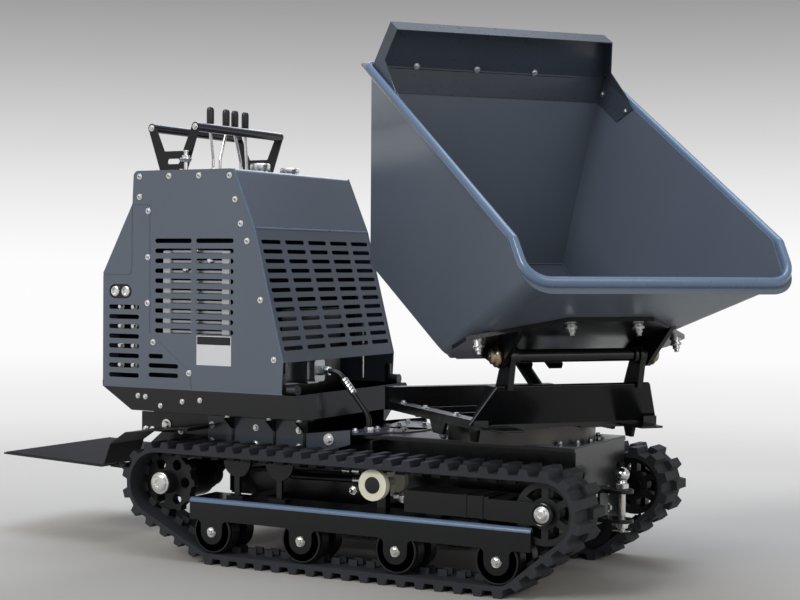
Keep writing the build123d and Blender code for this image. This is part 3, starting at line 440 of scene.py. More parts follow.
def repeated(name, spots, body, finish, values, shape, sides=6):
    """One piece with a shape at each (point, facing, run), its node tree evaluated to a plain mesh."""
    tree = repeat_tree(name + "_nodes", finish, values, shape, sides)
    points = bpy.data.meshes.new(name + "_points")
    points.from_pydata([tuple(spot[0]) for spot in spots], [], [])
    for label, column in (("facing", 1), ("run", 2)):
        attribute = points.attributes.new(label, "FLOAT_VECTOR", "POINT")
        for i, spot in enumerate(spots):
            attribute.data[i].vector = Vector(spot[column]).normalized()
    carrier = bpy.data.objects.new(name + "_points", points)
    bpy.context.scene.collection.objects.link(carrier)
    nodes = carrier.modifiers.new("nodes", "NODES")
    nodes.node_group = tree
    for item in tree.interface.items_tree:
        if item.item_type == "SOCKET" and item.in_out == "INPUT" and item.name in values:
            nodes[item.identifier] = values[item.name]
    bpy.context.view_layer.update()
    shown = carrier.evaluated_get(bpy.context.evaluated_depsgraph_get())
    mesh = bpy.data.meshes.new_from_object(shown)
    mesh.name = name
    bpy.data.objects.remove(carrier)
    return place_piece(name, mesh, body)


def fasteners(name, spots, body="chassis", finish="zinc", sides=6, head=0.007, height=0.006, washer=0.011,
              seat=0.002):
    """One zinc piece with a fastener at each (point, direction)."""
    values = {"Head radius": head, "Head height": height, "Washer radius": washer, "Washer height": seat}
    faced = [(point, facing, Vector(facing).orthogonal()) for point, facing in spots]
    return repeated(name, faced, body, finish, values, headed, sides)


def blocks(name, spots, body, finish, length, width, height):
    """One piece with a block at each (point, facing, run)."""
    values = {"Length": length, "Width": width, "Height": height}
    return repeated(name, spots, body, finish, values, block)


# Sizes and colours --------------------------------------------------------
def colour_property(name, description, colour):
    return FloatVectorProperty(name=name, description=description, subtype="COLOR", size=3, default=rgb(colour))


class DumperSizes(bpy.types.PropertyGroup):
    paint_colour: colour_property("Paint", "Colour of the powder coat on hood and skip", "#525a66")
    # The rolled edges' colour is bluer and brighter than the paint: a painted reflection of the sky on them
    rim_reflection_colour: colour_property("Rolled edges", "Colour of the skip's rim and the track frames' edges", "#52657d")
    enamel_colour: colour_property("Enamel", "Colour of the enamel on the welded frames", "#0b0c0d")
    # The floor's darkest tone, at the centre of the painted shade round the dumper
    floor_shade_colour: colour_property("Floor", "Colour of the studio floor under the dumper", "#a5a29c")
    floor_size: FloatProperty(name="Floor size", description="Side of the studio floor", default=60.0, unit="LENGTH")
    bolt_size: FloatProperty(
        name="Panel bolt", description="Diameter of the head of a bolt in the hood", default=0.0136, unit="LENGTH"
    )
    rim_radius: FloatProperty(
        name="Rim", description="Half the width of the skip's rolled rim", default=0.0135, unit="LENGTH"
    )
    links: IntProperty(name="Belt links", description="Links in a belt, with two guide horns each", default=55, min=20)


# Stage --------------------------------------------------------------------
CAMERA_PLACE = Vector((2.8917, -5.2418, 1.0858))
CAMERA_TURN, CAMERA_DROP, CAMERA_ROLL = radians(28.95), radians(1.27), radians(0.42)
CAMERA_LENS = 72.85
LAMP_AIM = Vector((0, 0, 0.7))
SUN_PLACE, SUN_STRENGTH, SUN_SPREAD = (-2.0, -6.5, 5.5), 1.5, radians(22)
# Name, place, watts, side and colour of each soft box
SOFT_BOXES = (
    ("fill", (6.5, -3.0, 3.5), 130, 4.0, "#ffffff"),
    ("sky", (0.2, 0.4, 6.5), 170, 4.0, "#dcebff"),
    ("back", (-3.0, 6.0, 4.5), 110, 3.0, "#e4efff"),
)
# The floor's painted shade, darkest round a point this far before the dumper, lightens outward, and the floor is white
# at the fade distance
FLOOR_CENTRE = 1.2
FLOOR_FADE = 15.0
FLOOR_SHADE = ((0.09, "#aca8a2"), (0.15, "#c4c0b9"), (0.26, "#d2cec7"))
FLOOR_FAR = ((0.2, "#cbcbcb"), (0.47, "#ebebeb"), (0.9, "#fafafa"), (1.0, "#fcfcfc"))
# Where the floor begins to glow and where it glows fully
FLOOR_GLOW = (0.2, 0.4)
# Tone of the backdrop by the height of a ray, white at the horizon and grey above the dumper
BACKDROP = (
    (0.0, "#fcfcfc"), (0.015, "#f7f7f7"), (0.052, "#e6e6e6"), (0.070, "#dadada"), (0.125, "#b4b4b4"),
    (0.158, "#9d9d9d"), (0.30, "#a2a4a7"), (1.0, "#d6dade"),
)


def background_rays(tree):
    """1 for the rays that show the backdrop: camera, glossy and transmission rays."""
    path = add_node(tree, "ShaderNodeLightPath").outputs
    shown = path["Is Camera Ray"]
    for kind in ("Is Glossy Ray", "Is Transmission Ray"):
        shown = add_node(tree, "ShaderNodeMath", {0: shown, 1: path[kind]}, operation="MAXIMUM").outputs[0]
    return shown


def add_object(context, name, data, matrix=None):
    thing = bpy.data.objects.new(name, data)
    context.scene.collection.objects.link(thing)
    if matrix:
        thing.matrix_world = matrix
    return thing


def add_camera(context):
    """Camera fitted to the photographed view."""
    look = Vector((-sin(CAMERA_TURN) * cos(CAMERA_DROP), cos(CAMERA_TURN) * cos(CAMERA_DROP), -sin(CAMERA_DROP)))
    level = Vector((cos(CAMERA_TURN), sin(CAMERA_TURN), 0))
    upright = level.cross(look)
    right = level * cos(CAMERA_ROLL) + upright * sin(CAMERA_ROLL)
    up = upright * cos(CAMERA_ROLL) - level * sin(CAMERA_ROLL)
    camera = bpy.data.cameras.new("camera")
    camera.lens = CAMERA_LENS
    camera.clip_end = 200
    matrix = Matrix((right, up, -look)).transposed().to_4x4()
    matrix.translation = CAMERA_PLACE
    context.scene.camera = add_object(context, "camera", camera, matrix)


def floor_paper(floor_shade_colour):
    """Matt paper with painted shade that greys it round the dumper, and that glows white far behind it, for the rays
    that show it.
    """
    mat = bpy.data.materials.new("studio_floor_paper")
    mat.use_nodes = True
    tree = mat.node_tree
    paper = tree.nodes["Principled BSDF"]
    centre = (FLOOR_CENTRE * sin(CAMERA_TURN), -FLOOR_CENTRE * cos(CAMERA_TURN), 0)
    place = add_node(tree, "ShaderNodeTexCoord").outputs["Object"]
    away = add_node(tree, "ShaderNodeVectorMath", {0: place, 1: centre}, operation="DISTANCE").outputs["Value"]
    reach = add_node(tree, "ShaderNodeMapRange", {"Value": away, "From Max": FLOOR_FADE}).outputs["Result"]
    shaded_tone = add_node(tree, "ShaderNodeValToRGB", {"Fac": reach}, ((0.0, floor_shade_colour), *FLOOR_SHADE))
    far = add_node(tree, "ShaderNodeValToRGB", {"Fac": reach}, FLOOR_FAR)
    feed(tree, paper, {"Base Color": shaded_tone.outputs["Color"], "Roughness": 0.9, "Specular IOR Level": 0.1})
    glow = add_node(tree, "ShaderNodeEmission", {"Color": far.outputs["Color"], "Strength": 1.0})
    share = add_node(
        tree, "ShaderNodeMapRange", {"Value": reach, "From Min": FLOOR_GLOW[0], "From Max": FLOOR_GLOW[1]},
        interpolation_type="SMOOTHSTEP"
    )
    seen = add_node(
        tree, "ShaderNodeMath", {0: share.outputs["Result"], 1: background_rays(tree)}, operation="MULTIPLY"
    )
    mixed = add_node(tree, "ShaderNodeMixShader", {0: seen.outputs[0], 1: paper.outputs[0], 2: glow.outputs[0]})
    feed(tree, tree.nodes["Material Output"], {"Surface": mixed.outputs[0]})
    return mat


def add_floor(context, sizes):
    half = sizes.floor_size / 2
    mesh = bpy.data.meshes.new("studio_floor")
    mesh.from_pydata([(-half, -half, 0), (half, -half, 0), (half, half, 0), (-half, half, 0)], [], [(0, 1, 2, 3)])
    mesh.materials.append(floor_paper(sizes.floor_shade_colour))
    add_object(context, "studio_floor", mesh)


def add_lamps(context):
    """A wide sun from the camera's left and three soft boxes, all aimed at the dumper."""
    sun = bpy.data.lights.new("key", "SUN")
    sun.energy = SUN_STRENGTH
    sun.angle = SUN_SPREAD
    lamps = [("key", sun, SUN_PLACE)]
    for name, place, power, size, colour in SOFT_BOXES:
        light = bpy.data.lights.new(name, "AREA")
        light.energy = power
        light.size = size
        light.color = rgb(colour)
        lamps.append((name, light, place))
    for name, light, place in lamps:
        turn = (LAMP_AIM - Vector(place)).to_track_quat("-Z", "Y").to_matrix().to_4x4()
        add_object(context, name, light, Matrix.Translation(place) @ turn)


def add_backdrop(context):
    """World that lights evenly, and shows the graded backdrop to the rays that see it."""
    world = bpy.data.worlds.new("studio")
    context.scene.world = world
    world.use_nodes = True
    tree = world.node_tree
    light = tree.nodes["Background"]
    feed(tree, light, {"Color": rgba("#f2f4f7"), "Strength": 0.5})
    place = add_node(tree, "ShaderNodeTexCoord").outputs["Generated"]
    height = add_node(tree, "ShaderNodeSeparateXYZ", {"Vector": place}).outputs["Z"]
    tone = add_node(tree, "ShaderNodeValToRGB", {"Fac": height}, BACKDROP).outputs["Color"]
    seen = add_node(tree, "ShaderNodeBackground", {"Color": tone, "Strength": 1.0})
    mix = add_node(tree, "ShaderNodeMixShader", {0: background_rays(tree), 1: light.outputs[0], 2: seen.outputs[0]})
    feed(tree, tree.nodes["World Output"], {"Surface": mix.outputs[0]})


class DUMPER_OT_stage(bpy.types.Operator):
    """Camera at the photographed angle, soft studio lights and a pale floor"""

    bl_idname = "dumper.stage"
    bl_label = "Stage"

    def execute(self, context):
        add_camera(context)
        add_floor(context, context.scene.dumper)
        add_lamps(context)
        add_backdrop(context)
        context.scene.view_settings.view_transform = "Standard"
        return {"FINISHED"}


# Operators of the pieces ---------------------------------------------------
class DUMPER_OT_finishes(bpy.types.Operator):
    """Gives every carried-over node its finish"""

    bl_idname = "dumper.finishes"
    bl_label = "Finishes"

    def execute(self, context):
        make_finishes(context.scene.dumper)
        slots = {part["node"]: part["material_slot"] for part in frame["record"]["subparts"]}
        for name, node in frame["nodes"].items():
            finish = FINISH[NODE_FINISH.get(name, SLOT_FINISH[slots[name]])]
            if not node.material_slots:
                node.data.materials.append(finish)
            for slot in node.material_slots:
                slot.material = finish
        return {"FINISHED"}


# Places that the pieces share, in metres in the row frame -----------------
SIDES = (-1, 1)

HOOD_FACE = 0.405
HOOD_TOP = 1.428
HOOD_BOLTS = (
    (-0.901, 1.406), (-0.765, 1.406), (-0.629, 1.405), (-0.493, 1.403), (-0.901, 1.330), (-0.860, 1.277),
    (-0.861, 1.105), (-0.862, 0.933), (-0.835, 0.788), (-0.670, 0.678), (-0.468, 1.316), (-0.443, 1.228),
    (-0.415, 1.165), (-0.356, 0.953), (-0.297, 0.740),
)
HOOD_FOLD = ((-0.4745, 1.4275), (-0.3835, 1.2128), (-0.2585, 0.7305))
HOOD_HEM = ((-1.0725, 0.637), (-1.0725, 0.6165), (-0.2600, 0.6165))
COOLER_X = -0.650
SOCKET_X = (-1.016, -0.966)

HANDLE_Z, HANDLE_FACE = 1.597, 0.290
LEVER_X = -0.800

ROLLER_X, ROLLER_Z = (-0.507, -0.129, 0.249, 0.627), 0.118
DRIVE, IDLER, CARRIER = (-0.750, 0.274), (0.788, 0.284), (0.155, 0.333)
TENSION_Z = 0.2885
GREASER = (0.044, 0.300)
# Centre and radius of each turn of the belt's inner face, seen from the side
BELT = ((*DRIVE, 0.116), (ROLLER_X[0], ROLLER_Z, 0.080), (ROLLER_X[-1], ROLLER_Z, 0.080), (*IDLER, 0.105))
BELT_STEPS = 24

DECK_TOP, NOSE_PLATE_TOP = 0.4722, 0.4765
SIDE_FACE = 0.2913
PUMP = (-0.2385, -0.150, 0.690)
HOSE_FOOT = (-0.050, -0.150, 0.4725)
BUFFER_Y = 0.372

GUARD_BACK = -0.6818
GUARD_INNER = 0.458
GUARD_BOLTS = (-0.300, -0.060, 0.175)
GUARD_WING = ((-0.640, 1.306), (-0.442, 1.3195))
TUB_FLOOR = ((-0.517, 0.3965), (0.165, 0.3285), 0.6385)


def on_sides(face, places):
    """Each (x, z) place on both sides at a distance from the middle, with the way that it faces."""
    return [((x, side * face, z), (0, side, 0)) for side in SIDES for x, z in places]


class DUMPER_OT_hood_fittings(bpy.types.Operator):
    """Panel bolts with painted shade in their sockets, seam strips in a coat that paints their highlight, blank plate,
    sockets and the engine bay behind the slots, its inside shade painted by matt black boxes
    """

    bl_idname = "dumper.hood_fittings"
    bl_label = "Hood fittings"

    def execute(self, context):
        head = context.scene.dumper.bolt_size / 2
        fasteners("hood_bolts", on_sides(HOOD_FACE, HOOD_BOLTS), sides=16, head=head, height=0.004, washer=0.0115)
        # Small black discs on the bolt heads paint the shade inside their socket recesses
        fasteners(
            "hood_bolt_recess_shade", on_sides(HOOD_FACE + 0.0058, HOOD_BOLTS), finish="black", head=0.003,
            height=0.0004, washer=0.0031, seat=0.0002
        )

        # Matt black boxes behind the slots, painting the shade inside the engine bay
        kit = Kit()
        kit.box((-0.925, -0.350, 0.625), (-0.500, 0.350, 1.400), "shade_black", 0.01)
        kit.box((-0.505, -0.390, 0.760), (-0.425, 0.390, 1.190), "shade_black", 0.01)
        kit.box((-1.060, -0.330, 0.660), (-0.930, 0.330, 0.960), "shade_black", 0.01)
        kit.done("engine_bay_painted_shade")
        self.cool(context)

        spots = on_sides(0.372, [(x, z) for x in (-1.010, -0.948) for z in (0.917, 0.844, 0.770, 0.697)])
        fasteners("bay_bolts", spots, head=0.009, height=0.010, washer=0.015, seat=0.004)

        kit = Kit()
        for x, y, lift in ((-0.566, -0.098, 0.036), (-0.556, 0.092, 0.028)):
            profile = (
                (0.030, 0), (0.030, 0.009), (0.037, 0.010), (0.038, 0.012), (0.038, lift - 0.004),
                (0.034, lift), (0.012, lift), (0.010, lift - 0.002), (0, lift - 0.002),
            )
            kit.turned(profile, (x, y, HOOD_TOP), UP, "zinc", 40)
        kit.done("filler_caps")

        kit = Kit()
        kit.box((-0.636, -0.4062, 0.710), (-0.482, -0.405, 0.818), "plate", 0.0004)
        kit.box((-0.633, -0.4066, 0.786), (-0.485, -0.4062, 0.815), "black")
        kit.done("blank_plate")

        kit = Kit()
        shell = ((0.019, 0), (0.019, 0.006), (0.016, 0.008), (0.012, 0.008), (0.011, 0.002), (0, 0.002))
        back = ((-0.058, 0), (0.058, 0), (0.058, 0.058), (-0.058, 0.058))
        for side in SIDES:
            face = side * 0.400
            for x in SOCKET_X:
                kit.turned(shell, (x, face, 0.976), (0, side, 0), "zinc", 28)
            kit.prism(back, (-0.990, face, 0.947), AHEAD, UP, (0, side * -0.002, 0), "black")
        kit.done("sockets")

        kit = Kit()
        # The top fold and the side folds are real lips drawn in the edge coat, whose bluer, brighter colour paints
        # their highlight; the hems keep the slate coat
        x, z = HOOD_FOLD[1]
        kit.tube([(x, -0.400, z), (x, 0.400, z)], 0.0035, "edge", 10)
        for side in SIDES:
            for line, radius, finish in ((HOOD_FOLD, 0.0026, "edge"), (HOOD_HEM, 0.0030, "slate")):
                kit.tube([(x, side * 0.4035, z) for x, z in line], radius, finish, 8)
        kit.done("hood_folds")
        return {"FINISHED"}

    def cool(self, context):
        """Oil cooler behind the side slots: two tanks, three plugs and its fins."""
        kit = Kit()
        plug = ((0.013, 0), (0.013, 0.03), (0.008, 0.034), (0, 0.034))
        for side in SIDES:
            for x0, x1 in ((-0.802, -0.765), (-0.535, -0.498)):
                kit.box((x0, side * 0.380 - 0.012, 0.80), (x1, side * 0.380 + 0.012, 1.130), "alloy", 0.003)
            for x, z in ((-0.700, 1.062), (-0.590, 1.094), (-0.655, 1.130)):
                kit.turned(plug, (x, side * 0.36, z), (0, side, 0), "zinc", 20)
        kit.done("oil_cooler_tanks")
        fins = on_sides(0.352, [(COOLER_X, 0.811 + row * 0.01855) for row in range(18)])
        spots = [(point, facing, AHEAD) for point, facing in fins]
        blocks("oil_cooler_fins", spots, "chassis", "alloy", 0.232, 0.009, 0.030)


class DUMPER_OT_handle_fittings(bpy.types.Operator):
    """Black knobs and boots of the levers, end bolts of the handles and the mount beside them"""

    bl_idname = "dumper.handle_fittings"
    bl_label = "Handle fittings"

    def execute(self, context):
        kit = Kit()
        knob = (
            (0, 0.0045), (0.0085, 0.005), (0.0105, 0.008), (0.0142, 0.022), (0.0146, 0.040), (0.0146, 0.072),
            (0.0138, 0.080), (0.0110, 0.0865), (0.0060, 0.0888), (0, 0.0890),
        )
        for y in (-0.097, 0.008, 0.068, 0.140):
            kit.turned(knob, (LEVER_X, y, 1.6), UP, "moulded", 28)
        kit.done("lever_knobs")

        kit = Kit()
        boot = (
            (0.017, 0), (0.017, 0.003), (0.012, 0.005), (0.014, 0.008), (0.012, 0.011), (0.0075, 0.016), (0, 0.016),
        )
        nut = ((0, 0.016), (0.0095, 0.016), (0.0095, 0.024), (0.0065, 0.026), (0, 0.026))
        for y in (-0.078, -0.031, 0.109, 0.152):
            kit.turned(boot, (LEVER_X, y, HOOD_TOP), UP, "moulded", 24)
            kit.turned(nut, (LEVER_X, y, HOOD_TOP), UP, "zinc", 6)
        kit.done("lever_boots")

        spots = on_sides(HANDLE_FACE, [(x, HANDLE_Z) for x in (-0.731, -0.934)])
        fasteners("handle_bolts", spots, sides=16, head=0.0085, height=0.004, washer=0.0125)

        kit = Kit()
        foot = ((0.013, 0), (0.013, 0.004), (0.008, 0.005), (0.008, 0.010), (0, 0.010))
        for x in (-0.893, -0.785):
            for side in SIDES:
                kit.turned(foot, (x, side * 0.302, HOOD_TOP), UP, "zinc", 20)
        stud = (
            (0, 0), (0.016, 0), (0.016, 0.004), (0.0075, 0.005), (0.0075, 0.034), (0.019, 0.036), (0.021, 0.043),
            (0.0235, 0.046), (0.0235, 0.050), (0.015, 0.052), (0.015, 0.060), (0.008, 0.062), (0.008, 0.072),
            (0.012, 0.074), (0.012, 0.079), (0, 0.081),
        )
        kit.turned(stud, (-0.762, -0.305, HOOD_TOP), UP, "zinc", 28)
        kit.done("handle_mount")
        return {"FINISHED"}


def belt_path(count):
    """Evenly spaced (x, z, outward angle, angle of the run) round the inner face of the belt."""
    leaving = []
    for i, (x, z, radius) in enumerate(BELT):
        nx, nz, following = BELT[(i + 1) % len(BELT)]
        leaving.append(atan2(nz - z, nx - x) - acos((radius - following) / hypot(nx - x, nz - z)))
    path = []
    for i, (x, z, radius) in enumerate(BELT):
        start, end = leaving[i - 1], leaving[i]
        while end < start:
            end += 2 * pi
        for k in range(BELT_STEPS + 1):
            turn = start + (end - start) * k / BELT_STEPS
            path.append((x + radius * cos(turn), z + radius * sin(turn)))
    legs = [(*path[i - 1], *path[i]) for i in [*range(1, len(path)), 0]]
    lengths = [hypot(nx - x, nz - z) for x, z, nx, nz in legs]
    spots = []
    for i in range(count):
        want = sum(lengths) * i / count
        k = 0
        while want > lengths[k]:
            want -= lengths[k]
            k += 1
        x, z, nx, nz = legs[k]
        part = want / lengths[k] if lengths[k] else 0
        run = atan2(nz - z, nx - x)
        spots.append((x + (nx - x) * part, z + (nz - z) * part, run - pi / 2, run))
    return spots


class DUMPER_OT_running_gear(bpy.types.Operator):
    """Guide horns inside the belts, wheel rims, hub nuts, roller bolts, tensioner rods and hoses"""

    bl_idname = "dumper.running_gear"
    bl_label = "Running gear"

    def execute(self, context):
        spots = []
        for side in SIDES:
            for x, z, out, run in belt_path(context.scene.dumper.links):
                for offset in (-0.021, 0.021):
                    spots.append((
                        (x + cos(out) * 0.002, side * LANE + offset, z + sin(out) * 0.002),
                        (-cos(out), 0, -sin(out)), (cos(run), 0, sin(run)),
                    ))
        blocks("guide_horns", spots, "chassis", "rubber", 0.034, 0.0085, 0.024)
        spots = on_sides(LANE + 0.088, [(x, ROLLER_Z) for x in ROLLER_X])
        fasteners("roller_bolts", spots, head=0.012, height=0.009, washer=0.0165, seat=0.004)
        self.hubs()
        self.tensioners()
        self.travel_motors()
        return {"FINISHED"}

    def hubs(self):
        """Roller rims with their lock clips, and the hub of each larger wheel."""
        kit = Kit()
        rim = ((0.0715, 0.0795), (0.0715, 0.0835), (0.0765, 0.0835), (0.0785, 0.0795))
        drive_hub = (
            (0.040, 0), (0.040, 0.006), (0.036, 0.008), (0.030, 0.008), (0.030, 0.014), (0.026, 0.016),
            (0.014, 0.016), (0.013, 0.013), (0, 0.013),
        )
        idler_cap = (
            (0.027, 0), (0.027, 0.003), (0.019, 0.005), (0.019, 0.014), (0.016, 0.016), (0.008, 0.016),
            (0.007, 0.013), (0, 0.013),
        )
        idler_ring = ((0.0385, 0), (0.0385, 0.0035), (0.0355, 0.005), (0.0325, 0.0035), (0.0325, 0))
        carrier_cap = ((0.0285, 0), (0.0285, 0.002), (0.027, 0.0035), (0.020, 0.0045), (0, 0.0045))
        clip = [(0.0185 * cos(turn), 0.0185 * sin(turn)) for turn in [radians(-140 + 12 * k) for k in range(13)]]
        for side in SIDES:
            for x in ROLLER_X:
                kit.tube(
                    [(x + a, side * (LANE + 0.0885), ROLLER_Z + b) for a, b in clip], 0.0022, "zinc", 8
                )
                kit.turned(rim, (x, side * LANE, ROLLER_Z), (0, side, 0), "cast", 48)
            for profile, (x, z), face, finish, segments in (
                (drive_hub, DRIVE, 0.068, "zinc", 40), (idler_cap, IDLER, 0.088, "zinc", 36),
                (idler_ring, IDLER, 0.0875, "black", 40), (carrier_cap, CARRIER, 0.080, "cast", 40),
            ):
                kit.turned(profile, (x, side * (LANE + face), z), (0, side, 0), finish, segments)
        kit.done("wheel_hubs")

    def tensioners(self):
        """Strips in the edge coat that paint the sky's reflection on the track frames' rolled top edges, and the
        threaded rods, bands and grease nipples of the tensioners.
        """
        kit = Kit()
        # A thin strip in the bluer edge coat over each frame's rolled top edge paints the sky's reflection on it
        roll = [(0.0143 * cos(radians(a)), 0.0143 * sin(radians(a))) for a in range(-8, 99, 10)]
        for side in SIDES:
            kit.prism([(0, 0), *roll], (-0.6026, side * 0.4743, 0.2228), (0, side, 0), UP, (1.3512, 0, 0), "edge")
        kit.done("track_frame_edge_reflections")

        kit = Kit()
        thread = [(0, 0)]
        for i in range(26):
            thread += [(0.0142, i * 0.0028), (0.0158, i * 0.0028 + 0.0014)]
        thread.append((0, 0.0725))
        nut = ((0, 0), (0.023, 0), (0.024, 0.002), (0.024, 0.015), (0.023, 0.017), (0, 0.017))
        nipple = ((0.010, 0), (0.010, 0.006), (0.006, 0.008), (0.006, 0.018), (0.0035, 0.022), (0, 0.022))
        x, z = GREASER
        for side in SIDES:
            kit.turned(thread, (0.2005, side * LANE, TENSION_Z), AHEAD, "zinc", 24)
            kit.turned(nut, (0.226, side * LANE, TENSION_Z), AHEAD, "zinc", 6)
            for band in (0.500, 0.560):
                kit.box(
                    (band, side * LANE - 0.0750, 0.2495), (band + 0.012, side * LANE + 0.0750, 0.3275), "black", 0.002
                )
            kit.turned(nipple, (x, side * (LANE + 0.02), z), (0, side, 0), "zinc", 16)
            kit.turned(((0.016, 0), (0.016, 0.02), (0, 0.02)), (x, side * LANE, z), (0, side, 0), "zinc", 6)
        kit.done("tensioner_rods")

    def travel_motors(self):
        """Stiff pressure hoses along the chassis, and the motors that they feed."""
        kit = Kit()
        bend = (
            (-0.600, 0.205, 0.330), (-0.46, 0.225, 0.355), (-0.30, 0.262, 0.340), (-0.06, 0.262, 0.345),
            (0.06, 0.262, 0.372), (0.11, 0.205, 0.372),
        )
        ribs = ((0, 0), (0.0125, 0), (0.0135, 0.004), (0.0125, 0.008), (0.0135, 0.012), (0.0125, 0.016),
                (0.0135, 0.020), (0.0125, 0.030), (0, 0.030))
        for side in SIDES:
            for inward, drop in ((0, 0), (0.006, 0.034)):
                path = rounded_path([(x, side * (y - inward), z - drop) for x, y, z in bend], 0.05)
                kit.tube(path, 0.010, "moulded", 14)
            for x, y, z in ((-0.05, 0.262, 0.345), (-0.09, 0.262, 0.345), (-0.05, 0.256, 0.311)):
                kit.turned(ribs, (x, side * y, z), AHEAD, "zinc", 20)
        kit.done("travel_motor_hoses")

        kit = Kit()
        motor = ((0, 0), (0.054, 0), (0.054, 0.05), (0.044, 0.055), (0.044, 0.09), (0.03, 0.095), (0, 0.095))
        x, z = DRIVE
        for side in SIDES:
            kit.turned(motor, (x, side * 0.222, z), (0, -side, 0), "cast", 32)
            kit.box((-0.800, side * 0.15 - 0.03, 0.285), (-0.700, side * 0.15 + 0.03, 0.330), "cast", 0.006)
        kit.box((-0.640, -0.190, 0.215), (-0.470, 0.190, 0.292), "black", 0.008)
        kit.done("travel_motors")


class DUMPER_OT_chassis_fittings(bpy.types.Operator):
    """Side plates, bolts, deck plates, bumper posts, hose ends and the ribs of the platform's tread"""

    bl_idname = "dumper.chassis_fittings"
    bl_label = "Chassis fittings"

    def execute(self, context):
        kit = Kit()
        liners = (
            ((-0.6645, 0.387), (-0.6645, 0.5135), (-0.2335, 0.5135), (-0.2335, 0.387)),
            ((-0.2305, 0.3875), (-0.2305, 0.4710), (-0.0465, 0.4920), (-0.0465, 0.4410)),
        )
        for side in SIDES:
            for outline in liners:
                kit.prism(outline, (0, side * 0.2899, 0), AHEAD, UP, (0, side * 0.0014, 0), "side")
        kit.done("side_liners")
        spots = on_sides(SIDE_FACE, [(x, z) for x in (-0.647, -0.449, -0.262) for z in (0.480, 0.420)])
        fasteners("side_plate_bolts", spots, head=0.0085, height=0.007, washer=0.0125)
        spots = on_sides(SIDE_FACE, ((-0.134, 0.455), (-0.856, 0.470)))
        fasteners("rail_bolts", spots, head=0.013, height=0.010, washer=0.021, seat=0.004)
        spots = [((x, side * 0.330, 0.5152), UP) for side in SIDES for x in (-0.550, -0.366, -0.237)]
        spots += on_sides(0.2905, [(x, 0.4480) for x in (-0.955, -0.925, -0.790)])
        fasteners("rib_bolts", spots, head=0.008, height=0.010, washer=0.012)
        skirt = ((-0.905, 0.585), (-0.870, 0.583), (-0.800, 0.552), (-0.700, 0.572), (-0.620, 0.580))
        fasteners("bed_rivets", on_sides(HOOD_FACE, skirt), sides=14, head=0.0065, height=0.005, washer=0.010)
        self.deck()
        self.bed_front()

        tilt = radians(2.2)
        along = Vector((cos(tilt), 0, -sin(tilt)))
        up = Vector((sin(tilt), 0, cos(tilt)))
        hinge = Vector((-1.120, 0, 0.292))
        spots = [(hinge + along * (-0.508 + row * 0.0162) + up * 0.0058, up, (0, 1, 0)) for row in range(30)]
        blocks("platform_ribs", spots, "platform", "tread", 0.650, 0.0085, 0.0035)
        return {"FINISHED"}

    def deck(self):
        """Two anchor plates, the nose plate and the bolts on them and round the slewing ring."""
        kit = Kit()
        anchor = (
            (-0.085, 0.054), (-0.123, 0.264), (-0.062, 0.323), (0.094, 0.150), (0.120, 0.020), (0.087, -0.053),
            (-0.024, -0.039),
        )
        for flip in SIDES:
            kit.prism([(x, flip * y * 0.85) for x, y in anchor][::flip], (0, 0, DECK_TOP), AHEAD, (0, 1, 0),
                      (0, 0, 0.008), "side", 0.001)
        kit.box((0.050, -0.2349, DECK_TOP), (0.7925, 0.2349, NOSE_PLATE_TOP), "side", 0.0012)
        kit.done("deck_plates")
        bolts = (
            (0.03, -0.03), (-0.05, 0.08), (-0.08, 0.20), (0.03, 0.13), (-0.05, -0.09), (-0.08, -0.20), (0.03, -0.13),
        )
        spots = [((x, y, DECK_TOP + 0.008), UP) for x, y in bolts]
        fasteners("deck_bolts", spots, head=0.009, height=0.008, washer=0.014)
        circle = [2 * pi * (i + 0.5) / 24 for i in range(24)]
        ring = [((SLEW_X + 0.281 * cos(turn), 0.281 * sin(turn), NOSE_PLATE_TOP), UP) for turn in circle]
        inside = [spot for spot in ring if abs(spot[0][1]) < 0.222 and 0.06 < spot[0][0] < 0.78]
        fasteners("ring_bolts", inside, finish="worn", head=0.009, height=0.009, washer=0.0125)

    def bed_front(self):
        """Posts and rubber buffers at the front of the bed, crimped hose ends and a filler rod."""
        kit = Kit()
        for side in SIDES:
            kit.box((-0.285, side * 0.388 - 0.012, 0.6175), (-0.262, side * 0.388 + 0.012, 0.690), "moulded", 0.004)
            kit.tube([(x, side * BUFFER_Y, 0.630) for x in (-0.255, -0.215)], 0.020, "moulded", 24)
        kit.done("bumper_posts")

        kit = Kit()
        crimps = [(0, 0.036), (0.0125, 0.036)]
        for i in range(5):
            crimps += [(0.0140, 0.040 + i * 0.013), (0.0140, 0.047 + i * 0.013), (0.0118, 0.049 + i * 0.013)]
        kit.turned([*crimps, (0.0105, 0.104), (0, 0.104)], (-0.180, PUMP[1], PUMP[2]), (0.635, 0, -0.772), "zinc", 24)
        nut = ((0, 0), (0.0165, 0), (0.0175, 0.002), (0.0175, 0.018), (0.0165, 0.020), (0, 0.020))
        kit.turned(nut, PUMP, AHEAD, "zinc", 6)
        kit.turned(nut, HOSE_FOOT, UP, "zinc", 6)
        kit.tube([(-0.300, 0.231, 0.640), (-0.300, 0.231, 0.860)], 0.004, "zinc", 10)
        kit.done("hose_ferrules")


